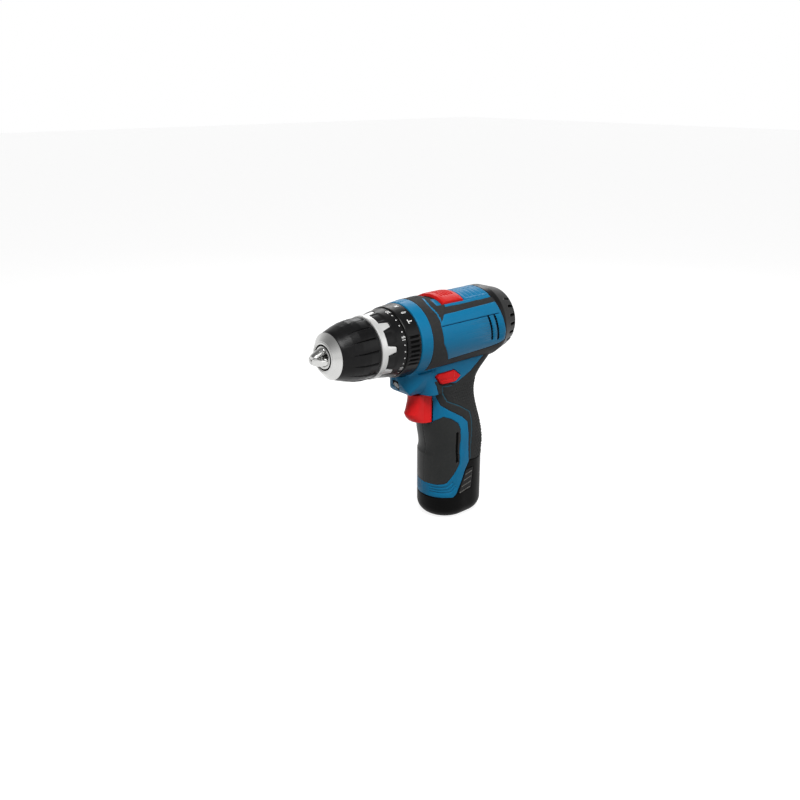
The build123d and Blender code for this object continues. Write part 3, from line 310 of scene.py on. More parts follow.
finishes = {
    "blue_plastic": finish("blue_plastic", (0.0020, 0.155, 0.320), (0.007, 0.205, 0.41),
                           (0.34, 0.48), (2200.0, 0.03), edge=0.35, dust=0.015,
                           Specular_IOR_Level=0.15),
    "dark_rubber": finish("dark_rubber", (0.020, 0.021, 0.0215), (0.040, 0.040, 0.040),
                          (0.6, 0.8), (1700.0, 0.07), edge=0.35, dust=0.04,
                          Specular_IOR_Level=0.14),
    "grip_panel": finish("grip_panel", (0.014, 0.0155, 0.0155), (0.030, 0.031, 0.030),
                         (0.36, 0.5), (2400.0, 0.03), edge=0.3, dust=0.02,
                         Specular_IOR_Level=0.18),
    "black_plastic": finish("black_plastic", (0.0040, 0.0040, 0.0043), (0.013, 0.013, 0.0135),
                            (0.24, 0.36), (2600.0, 0.015), edge=0.45, dust=0.01,
                            Specular_IOR_Level=0.14),
    "red_plastic": finish("red_plastic", (0.80, 0.010, 0.012), (0.86, 0.020, 0.022),
                          (0.34, 0.46), (2400.0, 0.015), edge=0.2, dust=0.005,
                          Specular_IOR_Level=0.13),
    "silver_plastic": finish("silver_plastic", (0.62, 0.62, 0.61), (0.74, 0.74, 0.73),
                             (0.26, 0.38), (3000.0, 0.01), edge=0.2, dust=0.02, Metallic=0.3),
    "inner_plastic": finish("inner_plastic", (0.012, 0.012, 0.0125), (0.024, 0.024, 0.0245),
                            (0.5, 0.65), (1800.0, 0.04), Specular_IOR_Level=0.3),
    "clear_lens": finish("clear_lens", (0.30, 0.32, 0.33), (0.42, 0.44, 0.45), (0.08, 0.14),
                         (900.0, 0.02), edge=0.0, dust=0.0, Transmission_Weight=0.55, IOR=1.49),
    "bright_steel": turned("bright_steel", (0.60, 0.60, 0.59), (0.14, 0.22)),
    "dark_steel": turned("dark_steel", (0.30, 0.29, 0.28), (0.3, 0.42)),
    "gear_steel": turned("gear_steel", (0.42, 0.41, 0.39), (0.25, 0.4)),
    "case_metal": turned("case_metal", (0.55, 0.56, 0.57), (0.35, 0.5), (1200.0, 0.05)),
    "can_steel": turned("can_steel", (0.62, 0.61, 0.58), (0.3, 0.4)),
    "magnet": finish("magnet", (0.05, 0.05, 0.052), (0.09, 0.09, 0.09), (0.5, 0.7), (900.0, 0.06)),
    "copper": turned("copper", (0.80, 0.36, 0.18), (0.25, 0.4)),
    "carbon": finish("carbon", (0.018, 0.018, 0.018), (0.04, 0.04, 0.04), (0.45, 0.6)),
    "spring_steel": turned("spring_steel", (0.56, 0.55, 0.53), (0.22, 0.34)),
    "cell_sleeve": finish("cell_sleeve", (0.10, 0.32, 0.16), (0.14, 0.40, 0.2), (0.25, 0.4)),
    "contact_metal": turned("contact_metal", (0.78, 0.66, 0.38), (0.2, 0.35)),
    "screw_steel": turned("screw_steel", (0.30, 0.30, 0.31), (0.3, 0.45)),
}
print_white = finish("print_white", (0.82, 0.82, 0.81), (0.72, 0.72, 0.71), (0.45, 0.6),
                     (2000.0, 0.01), edge=0.0, dust=0.02)
# Near-black paint laid in vents, notches and carved grooves: painted shade where the hollows fall
# dark.
painted_groove_shade = finish("painted_groove_shade", (0.002, 0.002, 0.002), (0.003, 0.003, 0.003), (0.7, 0.85),
                      edge=0.0, dust=0.0, Specular_IOR_Level=0.05)
# Dark blue paint along the panel's step groove: painted shade.
painted_step_shade = finish("painted_step_shade", (0.001, 0.022, 0.060), (0.002, 0.030, 0.080), (0.6, 0.75),
                     edge=0.0, dust=0.0, Specular_IOR_Level=0.1)
# Lighter grey, shinier black for the button ribs' tops: a painted highlight.
painted_rib_highlight = finish("painted_rib_highlight", (0.090, 0.088, 0.080), (0.14, 0.135, 0.12), (0.3, 0.45),
                      (2600.0, 0.01), edge=0.2, dust=0.02, Specular_IOR_Level=0.4)
# A darker, less glossy copy of the black plastic for the battery foot: painted shade low down.
battery_black_painted_shade = finish("battery_black_painted_shade", (0.0022, 0.0022, 0.0022), (0.006, 0.006, 0.006),
                       (0.34, 0.46), (2400.0, 0.02), edge=0.3, dust=0.0, Specular_IOR_Level=0.05)
# A darker copy of the red plastic for the gear selector: painted shade, so its lit top is not too
# bright.
selector_red_painted_shade = finish("selector_red_painted_shade", (0.56, 0.009, 0.007), (0.62, 0.016, 0.014), (0.36, 0.48),
                      (2400.0, 0.015), edge=0.2, dust=0.0, Specular_IOR_Level=0.12)
# A brighter copy of the red plastic for the trigger: painted light on a blade that faces away from
# the key lamp.
trigger_red_painted_light = finish("trigger_red_painted_light", (0.92, 0.012, 0.014), (0.94, 0.020, 0.022), (0.32, 0.44),
                     (2400.0, 0.015), edge=0.2, dust=0.0, Specular_IOR_Level=0.2)
# Lighter blue for the palm groove: a painted highlight along the line.
painted_groove_highlight = finish("painted_groove_highlight", (0.014, 0.070, 0.105), (0.022, 0.095, 0.14), (0.45, 0.6),
                     edge=0.0, dust=0.0, Specular_IOR_Level=0.2)

slot_of = {part["node"]: part["material_slot"] for part in record["subparts"]}
body_of = {n: body for body, names in record["behaviour"]["bodies"].items() for n in names}
for name, part in nodes.items():
    part.data.materials.clear()
    part.data.materials.append(finishes[slot_of[name]])


# ---------------------------------------------------------------- meshes from the solids
def link(name, mesh):
    """A new object in the scene around a mesh."""
    made = bpy.data.objects.new(name, mesh)
    bpy.context.scene.collection.objects.link(made)
    return made


def settled(obj):
    """Apply an object's modifiers to its mesh."""
    graph = bpy.context.evaluated_depsgraph_get()
    mesh = bpy.data.meshes.new_from_object(obj.evaluated_get(graph))
    obj.modifiers.clear()
    old = obj.data
    obj.data = mesh
    bpy.data.meshes.remove(old)
    return obj


def corners(mesh):
    """Every vertex place as an array."""
    at = np.empty(len(mesh.vertices) * 3, np.float32)
    mesh.vertices.foreach_get("co", at)
    return at.reshape(-1, 3).astype(float)


def directions(mesh):
    """Every vertex normal as an array."""
    out = np.empty(len(mesh.vertices) * 3, np.float32)
    mesh.vertex_normals.foreach_get("vector", out)
    return out.reshape(-1, 3).astype(float)


def moulded(source, name, cell=0.45, smooth=3, faces=60000, relief=None, paint=(), soft=None,
            shape=None, base=None):
    """A node's solid with its edges eased as a mould leaves them, a relief cut in, and paint.

    Soft names the places whose edges are rounder than the rest, and shape draws places in or out.
    """
    made = link(name, nodes[source].data.copy())
    made.data.materials.clear()
    made.data.materials.append(base or finishes[slot_of[source]])
    grid = made.modifiers.new("grid", "REMESH")
    grid.mode = "VOXEL"
    grid.voxel_size = cell * MM
    settled(made)
    ease = made.modifiers.new("ease", "SMOOTH")
    ease.factor = 0.5
    ease.iterations = smooth
    settled(made)
    if shape:
        at = shape(corners(made.data) / MM, directions(made.data)) * MM
        made.data.vertices.foreach_set("co", at.astype(np.float32).ravel())
        made.data.update()
    if soft:
        zone = made.vertex_groups.new(name="rounder")
        chosen = np.flatnonzero(soft(corners(made.data) / MM))
        zone.add([int(number) for number in chosen], 1.0, "REPLACE")
        round_off = made.modifiers.new("round", "SMOOTH")
        round_off.factor = 0.5
        round_off.iterations = 14
        round_off.vertex_group = zone.name
        settled(made)
    if relief:
        at = corners(made.data)
        facing = directions(made.data)
        at += facing * (relief(at / MM, facing) * MM)[:, None]
        made.data.vertices.foreach_set("co", at.astype(np.float32).ravel())
    now = len(made.data.polygons) * 2
    if now > faces:
        thin = made.modifiers.new("thin", "DECIMATE")
        thin.ratio = faces / now
        settled(made)
    mesh = made.data
    for number, (material, where) in enumerate(paint, 1):
        mesh.materials.append(material)
        middle = np.empty(len(mesh.polygons) * 3, np.float32)
        mesh.polygons.foreach_get("center", middle)
        facing = np.empty(len(mesh.polygons) * 3, np.float32)
        mesh.polygons.foreach_get("normal", facing)
        middle, facing = middle.reshape(-1, 3).astype(float), facing.reshape(-1, 3).astype(float)
        index = np.empty(len(mesh.polygons), np.int32)
        mesh.polygons.foreach_get("material_index", index)
        index[where(middle / MM, facing)] = number
        mesh.polygons.foreach_set("material_index", index)
    mesh.polygons.foreach_set("use_smooth", np.ones(len(mesh.polygons), bool))
    mesh.update()
    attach(made, body_of[source])
    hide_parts(source)
    return made


# ---------------------------------------------------------------- lines drawn on a surface
def line_distance(across, along, points):
    """How far each place lies from a line drawn through points, on a flat or unrolled skin."""
    best = np.full(across.shape, 1e9)
    for (a, b), (c, d) in zip(points, points[1:]):
        run, rise = c - a, d - b
        share = ((across - a) * run + (along - b) * rise) / (run * run + rise * rise)
        share = np.clip(share, 0, 1)
        best = np.minimum(best, np.hypot(across - a - share * run, along - b - share * rise))
    return best


def inside(across, along, points):
    """Which places lie inside a closed outline."""
    within = np.zeros(across.shape, bool)
    for (a, b), (c, d) in zip(points, points[1:] + points[:1]):
        crossed = (b > along) != (d > along)
        with np.errstate(divide="ignore", invalid="ignore"):
            edge = (c - a) * (along - b) / (d - b) + a
        within ^= crossed & (across < edge)
    return within


def ramp(value, start, end):
    """0 before start, 1 after end, straight between."""
    return np.clip((value - start) / (end - start), 0, 1)


def unrolled(at):
    """Places on the head as x and arc length from the middle of either side, and the angle."""
    turn = np.arctan2(at[:, 2] - spindle_z, np.abs(at[:, 1]))
    return at[:, 0], turn * head_radius, np.degrees(turn)


def on_head(points):
    """A line given as x and angle, on the unrolled head."""
    return [(x, radians(angle) * head_radius) for x, angle in points]


def head_skin(at, facing, depth=2.2):
    """Which places are on the outside of the head."""
    away = np.stack([np.zeros(len(at)), at[:, 1], at[:, 2] - spindle_z], 1)
    radius = np.linalg.norm(away, axis=1)
    outward = (away * facing).sum(1) / np.maximum(radius, 1e-6)
    return (radius > head_radius - depth) & (outward > 0.5)


def side_skin(at, facing):
    """Which places face sideways, away from the middle."""
    return (at[:, 1] * facing[:, 1] > 0) & (np.abs(facing[:, 1]) > 0.25)


def groove(distance, half, depth, slope=0.35):
    """A cut of that half width and depth beside a drawn line."""
    return -depth * ramp(distance, half + slope, half)


# ---------------------------------------------------------------- housing
degree_arc = 0.49
step_angle = 23.6
rail_angle = 52.5
panel_ends = (-25.0, 33.0)
vent_lines = [
    on_head([(-13.6, 22.5), (-17.2, -15.0)]),
    on_head([(-20.0, 21.5), (-24.2, -17.5)]),
]
accent_line = on_head([(32.9, 80), (34.6, 67), (34.8, 57), (34, 49), (33.3, 42), (32.7, 33),
                       (33.1, 26)])
lip_lines = [[(28.5, 27.9), (22.5, 27.6), (18.0, 28.4), (14.6, 32.0)],
             [(28.5, 25.7), (22.0, 25.4), (16.6, 26.2), (13.2, 30.0)],
             [(28.0, 23.5), (21.5, 23.2), (15.4, 24.0), (12.2, 28.0)]]
panel_edge = [(28.3, 80.7), (25.3, 84.2), (21, 87.5), (15.6, 85.3), (9.7, 80.7), (8.2, 75.9),
              (8.7, 53.9), (8.8, 47), (13.3, 38.8), (18.4, 31.1), (22.7, 29.9), (28, 30.2)]


def panel_reach(x):
    """The side panel's length along the head."""
    return ramp(x, panel_ends[0] - 0.5, panel_ends[0]) * ramp(x, panel_ends[1] + 0.5, panel_ends[1])


def shell_relief(at, facing):
    """Raised upper strip, slanted vents, stepped top, grip lip lines and the centre joint."""
    x, arc, angle = unrolled(at)
    head = head_skin(at, facing)
    cut = np.zeros(len(at))
    raised = ramp(angle, 23.4, 24.4) * ramp(x, -26, -25) * ramp(x, 35, 34) * ramp(angle, 58, 56)
    cut += 0.25 * raised * head
    cut += groove(np.abs(angle - step_angle) * degree_arc, 0.12, 0.4) * head * panel_reach(x)
    for line in vent_lines:
        cut += groove(line_distance(x, arc, line), 0.6, 2.0, 0.25) * head
    step = ((-x - 2.0) / 4.4) % 1.0
    ribbed = ramp(angle, 60, 63) * ramp(x, -23.5, -23) * ramp(x, -1.0, -1.5)
    cut -= ribbed * head * (0.75 * (1 - step) ** 2 + 0.1)
    side = side_skin(at, facing)
    for line in lip_lines:
        cut += groove(line_distance(at[:, 0], at[:, 2], line), 0.2, 0.5, 0.5) * side
    joint = ramp(np.abs(at[:, 1]), 0.45, 0.1)
    cut -= 0.35 * joint * (np.abs(facing[:, 1]) < 0.4)
    return cut


lens_low, lens_high = span("led_lens")
lens_z = (lens_low[2] + lens_high[2]) / 2
lens_radius = (lens_high[1] - lens_low[1]) / 2


def shell_slots(at, facing):
    """The vents' insides and a ring round the lamp's seat, painted near black as shade."""
    x, arc, angle = unrolled(at)
    radius = np.hypot(at[:, 1], at[:, 2] - spindle_z)
    slots = np.logical_or.reduce([line_distance(x, arc, line) < 0.95 for line in vent_lines])
    seat = np.hypot(at[:, 1], at[:, 2] - lens_z)
    lamp = (seat < lens_radius + 1.5) & (at[:, 0] > lens_low[0] - 1)
    return (slots & (radius > head_radius - 4.0)) | lamp


def shell_shadows(at, facing):
    """The panel's step line, painted dark blue as shade."""
    x, arc, angle = unrolled(at)
    near = np.abs(angle - step_angle) * degree_arc < 0.3
    return head_skin(at, facing) & near & (panel_reach(x) > 0.5)


selector_low, selector_high = span("gear_selector")


def slot_floor(at, facing):
    """The dark floor that the selector slides over."""
    x, arc, angle = unrolled(at)
    radius = np.hypot(at[:, 1], at[:, 2] - spindle_z)
    ahead = (x > selector_high[0] - 1.5) & (x < 31.8) & (angle > 50)
    return ahead & (radius > head_radius - 5)


chin_tip = mode_low[0] + 1.7
chin_bow = 17.0
chin_bow_x = chin_tip - chin_bow + 1.3
chin_half_width = 15.5
chin_root_x = 31.5
chin_foot = -44.4
chin_keel = (-27.0, 17.6)
chin_wall = 1.6
chin_side = [(chin_foot, chin_tip - 15.0), (-43.6, chin_tip - 9.5), (-41.0, chin_tip - 4.6),
             (-37.8, chin_tip - 2.1), (-33.2, chin_tip), (-30.0, chin_tip + 0.8),
             (-21.0, chin_tip + 1.3)]


def within_chin(at, inset):
    """Which places lie inside the lamp nose, a bow in plan with a round keel."""
    rise = at[:, 2] - spindle_z
    reach = np.interp(rise, [z for z, x in chin_side], [x for z, x in chin_side])
    ahead = np.maximum(at[:, 0] - chin_bow_x, 0) / (chin_bow - inset)
    below = np.maximum(chin_keel[0] - rise, 0) / (chin_keel[1] - inset)
    below = below * ramp(at[:, 0], chin_root_x, chin_root_x + 6.5)
    across = at[:, 1] / (chin_half_width - inset)
    round_form = (across ** 2 + ahead ** 2 < 1) & (across ** 2 + below ** 2 < 1)
    return round_form & (at[:, 0] < reach - inset) & (rise > chin_foot + inset)


def chin_shape(at, facing, proud=0.0):
    """The lamp nose drawn in to its round form, along lines to its middle."""
    rise = at[:, 2] - spindle_z
    radius = np.hypot(at[:, 1], rise)
    part = (at[:, 0] > chin_root_x) & (rise < -22) & (rise > chin_foot - 0.4)
    part &= (at[:, 0] > mode_low[0] - 0.3) | (radius > head_radius - 0.4)
    middle = np.array([33.0, 0.0, spindle_z - 36.0])
    ray = at - middle
    inset = np.where((ray * facing).sum(1) < 0, chin_wall, -proud)
    least, most = np.zeros(len(at)), np.ones(len(at))
    for _ in range(14):
        share = (least + most) / 2
        fits = within_chin(middle + ray * share[:, None], inset)
        least, most = np.where(fits, share, least), np.where(fits, most, share)
    move = part & ~within_chin(at, inset)
    return np.where(move[:, None], middle + ray * least[:, None], at)


def chin_zone(at):
    """The lamp nose, whose edges are well rounded."""
    lamp = np.hypot(at[:, 1], at[:, 2] - lens_z)
    return (at[:, 0] > 31) & (at[:, 2] < spindle_z - 27.5) & (at[:, 2] > spindle_z - 52) & (
        lamp > 3.6)


grip_accent = [(14.9, 111.9), (22.6, 112), (22.3, 107.4), (18.2, 99.3), (7, 93.6), (-2.7, 87.1),
               (-3.9, 81.5), (-2.3, 59.9), (-2.3, 47)]
dotted_field = [(8.5, 109.5), (16.5, 109), (14.5, 101.5), (4.0, 96.5), (-6.8, 89.0), (-8.2, 81.5),
                (-6.6, 48), (-19.5, 48), (-19.5, 80), (-15.5, 100), (-14, 112)]


def rubber_relief(at, facing):
    """The raised frame before the selector, the accent grooves and the dotted palm."""
    x, arc, angle = unrolled(at)
    head = head_skin(at, facing)
    cut = groove(line_distance(x, arc, accent_line), 0.5, 0.25) * head
    cut += groove(np.abs(angle - rail_angle) * degree_arc, 0.1, 0.35) * ramp(x, 23, 22) * head
    frame_step = ramp(x, 35.5, 33.5) * ramp(angle, 41, 44) * ramp(x, 20, 22)
    cut += 0.25 * frame_step * head
    side = side_skin(at, facing)
    cut += groove(line_distance(at[:, 0], at[:, 2], grip_accent), 0.4, 0.4) * side
    rows = 2.4
    row = np.round(at[:, 2] / rows)
    shift = (row % 2) * 0.5
    around = np.arctan2(at[:, 0] - 2.0, np.abs(at[:, 1])) * 21.0
    spot = np.hypot((around / rows - shift + 0.5) % 1.0 - 0.5, at[:, 2] / rows - row)
    field = inside(at[:, 0], at[:, 2], dotted_field)
    cut += 0.5 * ramp(spot, 0.38, 0.2) * (field & (np.abs(facing[:, 2]) < 0.7))
    return cut


def grip_line(at, facing):
    """The thin line let into the palm rubber, painted a lighter blue as its highlight."""
    return side_skin(at, facing) & (line_distance(at[:, 0], at[:, 2], grip_accent) < 0.4)


def blue_trim(at, facing):
    """The blue line before the frame and the blue strip above each rail."""
    x, arc, angle = unrolled(at)
    line = line_distance(x, arc, accent_line) < 0.65
    above = angle - rail_angle
    strip = (above > 0) & (x < 22.5 + above * 0.2) & (x > -24.2)
    return head_skin(at, facing) & (line | strip)


panel_groove = [(11.3, 72.8), (11.0, 60.0), (11.0, 49.2)]


def panel_relief(at, facing):
    """The long finger groove and a shallow edge round the front panel."""
    side = side_skin(at, facing)
    cut = groove(line_distance(at[:, 0], at[:, 2], panel_groove), 1.0, 1.0) * side
    rim = line_distance(at[:, 0], at[:, 2], panel_edge)
    return cut - 0.3 * ramp(rim, 0.9, 0.3) * side


def panel_shadow(at, facing):
    """The finger groove's floor, painted near black as shade."""
    line = line_distance(at[:, 0], at[:, 2], panel_groove)
    return side_skin(at, facing) & (line < 1.2)


for side in ("left", "right"):
    # Painted shade: near black in the vents and round the lamp's seat, dark blue along the panel's
    # step line.
    moulded(f"{side}_shell", f"{side}_body_shell", 0.42, 2, 90000, shell_relief,
            [(painted_groove_shade, shell_slots), (painted_step_shade, shell_shadows),
             (finishes["dark_rubber"], slot_floor)], chin_zone, chin_shape)
    # The palm groove gets a painted blue highlight.
    moulded(f"{side}_overmould", f"{side}_rubber_grip", 0.4, 2, 90000, rubber_relief,
            [(painted_groove_highlight, grip_line), (finishes["blue_plastic"], blue_trim)])
    # The finger groove in the palm panel gets painted shade.
    moulded(f"{side}_grip_panel", f"{side}_palm_panel", 0.4, 3, 20000, panel_relief,
            [(painted_groove_shade, panel_shadow)])
moulded("led_lens", "lamp_lens", 0.22, 2, 12000,
        shape=lambda at, facing: chin_shape(at, facing, 0.1))


notch_pitch = 15.4
notch_arc = 0.42


def notch_distance(angle):
    """How far round the rim each place lies from the nearest notch's middle."""
    half = notch_pitch / 2
    return np.abs((angle + half) % notch_pitch - half) * notch_arc


def cap_relief(at, facing):
    """Short notches round the rear cap's rim."""
    x, arc, angle = unrolled(at)
    radius = np.hypot(at[:, 1], at[:, 2] - spindle_z)
    away = (at[:, 1] * facing[:, 1] + (at[:, 2] - spindle_z) * facing[:, 2]) / radius
    outer = (radius > 19) & (away > 0.2)
    notch = ramp(notch_distance(angle), 0.95, 0.6)
    band = ramp(x, -46.5, -45.8) * ramp(x, -38.6, -39.2) * ramp(np.abs(angle), 52, 50)
    return -1.3 * notch * band * outer


def cap_notches(at, facing):
    """The cap's notches, painted near black inside as shade."""
    x, arc, angle = unrolled(at)
    radius = np.hypot(at[:, 1], at[:, 2] - spindle_z)
    notch = notch_distance(angle) < 0.75
    return notch & (x > -46.2) & (x < -38.9) & (np.abs(angle) < 51) & (radius > 19)


# The cap's notches get painted shade.
moulded("rear_cap", "vented_rear_cap", 0.4, 2, 60000, cap_relief, [(painted_groove_shade, cap_notches)])


# ---------------------------------------------------------------- controls
def selector_relief(at, facing):
    """Finger ribs across the gear selector."""
    middle = (selector_low[0] + selector_high[0]) / 2
    wave = 0.5 + 0.5 * np.cos((at[:, 0] - middle) * 2 * pi / 2.6)
    reach = ramp(np.abs(at[:, 0] - middle), 6.6, 6.2) * ramp(np.abs(at[:, 1]), 8.5, 7.5)
    return -0.55 * wave * reach * (facing[:, 2] > 0.5)


# The selector takes the darker red copy: painted shade.
moulded("gear_selector", "gear_selector_knob", 0.3, 2, 30000, selector_relief,
        base=selector_red_painted_shade)
trigger_high = span("trigger")[1]
blade_half_width = 6.8
blade_bow = 7.5
blade_gain = [(-68, 2.0), (-66.8, 3.0), (-65, 2.2), (-59.5, 2.5), (-54, 2.9), (-48.8, 2.0),
              (-44.8, 1.6)]


def trigger_shape(at, facing):
    """The blade made narrower ahead of its root, with its front bowed from side to side."""
    out = at.copy()
    half = trigger_high[1] + (blade_half_width - trigger_high[1]) * ramp(at[:, 0], 28.0, 36.0)
    out[:, 1] *= half / trigger_high[1]
    front = ramp(at[:, 0], 29.0, trigger_high[0])
    bow = 1 - np.sqrt(1 - np.clip(np.abs(out[:, 1]) / half, 0, 1) ** 2)
    gain = np.interp(at[:, 2] - spindle_z, [z for z, x in blade_gain], [x for z, x in blade_gain])
    out[:, 0] += front * (gain - blade_bow * bow)
    return out


# The trigger takes the brighter red copy: painted light.
moulded("trigger", "trigger_blade", 0.35, 4, 24000, shape=trigger_shape, base=trigger_red_painted_light)

lever_low, lever_high = span("direction_lever")


def lever_relief(at, facing):
    """A stepped rear end and two lines on the lever's thumb pads."""
    side = np.abs(facing[:, 1]) > 0.5
    rear = ramp(at[:, 0], lever_low[0] + 7.0, lever_low[0] + 6.2)
    line = np.abs(at[:, 2] - (lever_low[2] + lever_high[2]) / 2 - 0.6)
    return -(0.45 * rear + 0.3 * ramp(line, 0.5, 0.2) * (1 - rear)) * side


moulded("direction_lever", "direction_lever_bar", 0.3, 2, 30000, lever_relief)

# ---------------------------------------------------------------- battery
button_ribs = [[(3.4 + 1.93 * k, 37.0 - 4.63 * k), (-3.2 + 0.6 * k, 38.4 - 4.43 * k)]
               for k in range(4)]


def button_relief(at, facing):
    """Four raised ribs on each release button."""
    side = side_skin(at, facing)
    rise = np.zeros(len(at))
    for line in button_ribs:
        rise += 0.6 * ramp(line_distance(at[:, 0], at[:, 2], line), 0.7, 0.3)
    return rise * side


def rib_tops(at, facing):
    """The ribs' tops, painted a lighter grey as a highlight."""
    near = np.logical_or.reduce(
        [line_distance(at[:, 0], at[:, 2], line) < 0.36 for line in button_ribs])
    return near & side_skin(at, facing)


for side in ("left", "right"):
    # The ribs' tops get a painted highlight.
    moulded(f"{side}_release_button", f"{side}_battery_button", 0.35, 2, 24000, button_relief,
            [(painted_rib_highlight, rib_tops)])
# The battery foot takes the darker black copy: painted shade.
moulded("battery_base", "battery_foot", 0.42, 3, 60000, base=battery_black_painted_shade)


# ---------------------------------------------------------------- rings and chuck
def divided(points, step):
    """Points along an outline, no further apart than step."""
    out = []
    for (a, b), (c, d) in zip(points, points[1:]):
        count = max(1, int(np.hypot(c - a, d - b) / step))
        out += [(a + (c - a) * k / count, b + (d - b) * k / count) for k in range(count)]
    return out + [points[-1]]


def spun(name, outline, turns, source, carve=None, step=0.5, sharp=32, whole=True, shadow=None):
    """A ring turned round the spindle from a closed outline of x and radius, then carved."""
    points = np.array(divided(outline + outline[:1], step)[:-1])
    angles = np.arange(turns) * 360 / turns
    x, angle = np.meshgrid(points[:, 0], angles, indexing="ij")
    radius = np.repeat(points[:, 1:2], turns, 1)
    if carve:
        radius = radius + carve(x, radius, angle)
    around = np.radians(angle)
    at = np.stack([x, radius * np.cos(around), radius * np.sin(around) + spindle_z], -1)
    rows = np.arange(len(points))
    columns = np.arange(turns)
    row, column = np.meshgrid(rows, columns, indexing="ij")
    below, beside = (row + 1) % len(points), (column + 1) % turns
    faces = np.stack([row * turns + column, row * turns + beside,
                      below * turns + beside, below * turns + column], -1).reshape(-1, 4)
    mesh = bpy.data.meshes.new(name)
    mesh.from_pydata((at.reshape(-1, 3) * MM).tolist(), [], faces.tolist())
    mesh.materials.append(finishes[slot_of[source]])
    # Faces carved deeper than shadow are painted near black: painted shade in the grooves.
    if shadow:
        mesh.materials.append(painted_groove_shade)
        depth = carve(x, np.repeat(points[:, 1:2], turns, 1), angle)
        mesh.polygons.foreach_set("material_index", (depth < -shadow).astype(np.int32).ravel())
    mesh.polygons.foreach_set("use_smooth", np.ones(len(mesh.polygons), bool))
    mesh.set_sharp_from_angle(angle=radians(sharp))
    bm = bmesh.new()
    bm.from_mesh(mesh)
    bmesh.ops.recalc_face_normals(bm, faces=bm.faces)
    bm.to_mesh(mesh)
    bm.free()
    made = link(name, mesh)
    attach(made, body_of[source])
    if whole:
        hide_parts(source)
    return made


mode_x = mode_low[0]
mode_radius = mode_high[1]
mode_bore = 24.4


def mode_ribs(x, radius, angle):
    """Blocks of finger ribs between the mode signs."""
    side = (angle + 90) % 180 - 90
    rib = 0.5 + 0.5 * np.cos(np.radians(side) * 360 / 7.5)
    block = ramp(np.abs(side + 3.0), 26.5, 25.5) * ramp(x, mode_x + 0.7, mode_x + 1.1)
    block = block * ramp(x, mode_x + 10.6, mode_x + 10.2) * (radius > mode_radius - 1.25)
    return -0.75 * ramp(rib, 0.55, 0.39) * block


mode_end = torque_low[0] + 2.6
# Rib grooves deeper than 0.45 mm are painted near black as shade.
spun("mode_ring_grip", [
    (mode_x, mode_bore), (mode_x, mode_radius - 0.5), (mode_x + 0.5, mode_radius - 0.05),
    (mode_end - 0.9, mode_radius - 1.0), (mode_end - 0.3, mode_radius - 1.3),
    (mode_end, mode_radius - 1.7), (mode_end, torque_high[1] - 0.2),
    (torque_low[0] - 0.3, torque_high[1] - 0.2), (torque_low[0] - 0.3, mode_bore),
], 720, "mode_ring", mode_ribs, 0.4, shadow=0.45)

sleeve_x = sleeve_low[0]
sleeve_end = sleeve_high[0]
sleeve_radius = sleeve_high[1]
sleeve_tip = 16.2
sleeve_rear_bore = 18.9
sleeve_front_bore = 15.65
flute_pitch = 24.0


def sleeve_flutes(x, radius, angle):
    """Long tapered facets, each with one sharp groove beside it."""
    outer = radius > 15.9
    turn = (angle - 8.0) % flute_pitch
    along = x - sleeve_x
    facet = 0.55 * (1 - turn / flute_pitch) * ramp(along, 25, 12) * ramp(along, 1.2, 2.6)
    reach = ramp(along, 22, 17) * ramp(along, 1.6, 2.4)
    width = 2.2 - 1.5 * ramp(along, 3, 18)
    cut = 0.75 * ramp(np.minimum(turn, flute_pitch - turn), width, width * 0.35) * reach
    return -(facet + cut) * outer


# Flute grooves deeper than 0.95 mm are painted near black as shade.
spun("chuck_grip_sleeve", [
    (sleeve_x, sleeve_rear_bore), (sleeve_x, sleeve_radius - 1.0),
    (sleeve_x + 0.3, sleeve_radius - 0.4), (sleeve_x + 1.0, sleeve_radius),
    (sleeve_x + 9.0, sleeve_radius),
    (sleeve_x + 14.0, sleeve_radius - 0.7), (sleeve_x + 20.0, sleeve_radius - 2.4),
    (sleeve_end - 2.6, sleeve_tip + 1.0), (sleeve_end - 0.6, sleeve_tip + 0.1),
    (sleeve_end, sleeve_tip - 0.5), (sleeve_end, sleeve_front_bore),
    (sleeve_x + 18.8, sleeve_front_bore), (sleeve_x + 18.8, sleeve_rear_bore),
], 1080, "chuck_sleeve", sleeve_flutes, 0.45, 24, shadow=0.95)

torque_x = torque_low[0]
torque_front = torque_high[0]
torque_radius = torque_high[1]
ring_front = torque_radius - 2.7
index_bore = 18.0
lug_count = 8
lug_pitch = 360 / lug_count
lug_angles = [5 + lug_pitch * index for index in range(lug_count)]
lug_outline = [(3.3, 0.4), (3.2, -0.6), (1.7, -6.6), (-1.7, -6.6), (-3.2, -0.6), (-3.3, 0.4)]


def torque_skin(x):
    """The torque ring's radius at x."""
    first = torque_front - 13.5
    fore = torque_radius - 0.7 - 2.0 * (x - first) / (torque_front - first)
    return np.where(x < first, torque_radius - 0.7 * (x - torque_x) / (first - torque_x), fore)


def lug_seats(x, radius, angle):
    """Shadow gaps round each silver lug, and a shallow thumb hollow between the lugs."""
    turn = (angle - lug_angles[0] + lug_pitch / 2) % lug_pitch - lug_pitch / 2
    across = np.radians(turn) * ring_front
    along = x - torque_front
    edge = line_distance(across.ravel(), along.ravel(), lug_outline).reshape(across.shape)
    outer = radius > ring_front - 1.0
    hollow = ramp(np.abs(turn), 9.5, 13) * ramp(along, -8.0, -6.0)
    return -(0.7 * ramp(edge, 0.55, 0.3) + 0.35 * hollow) * outer


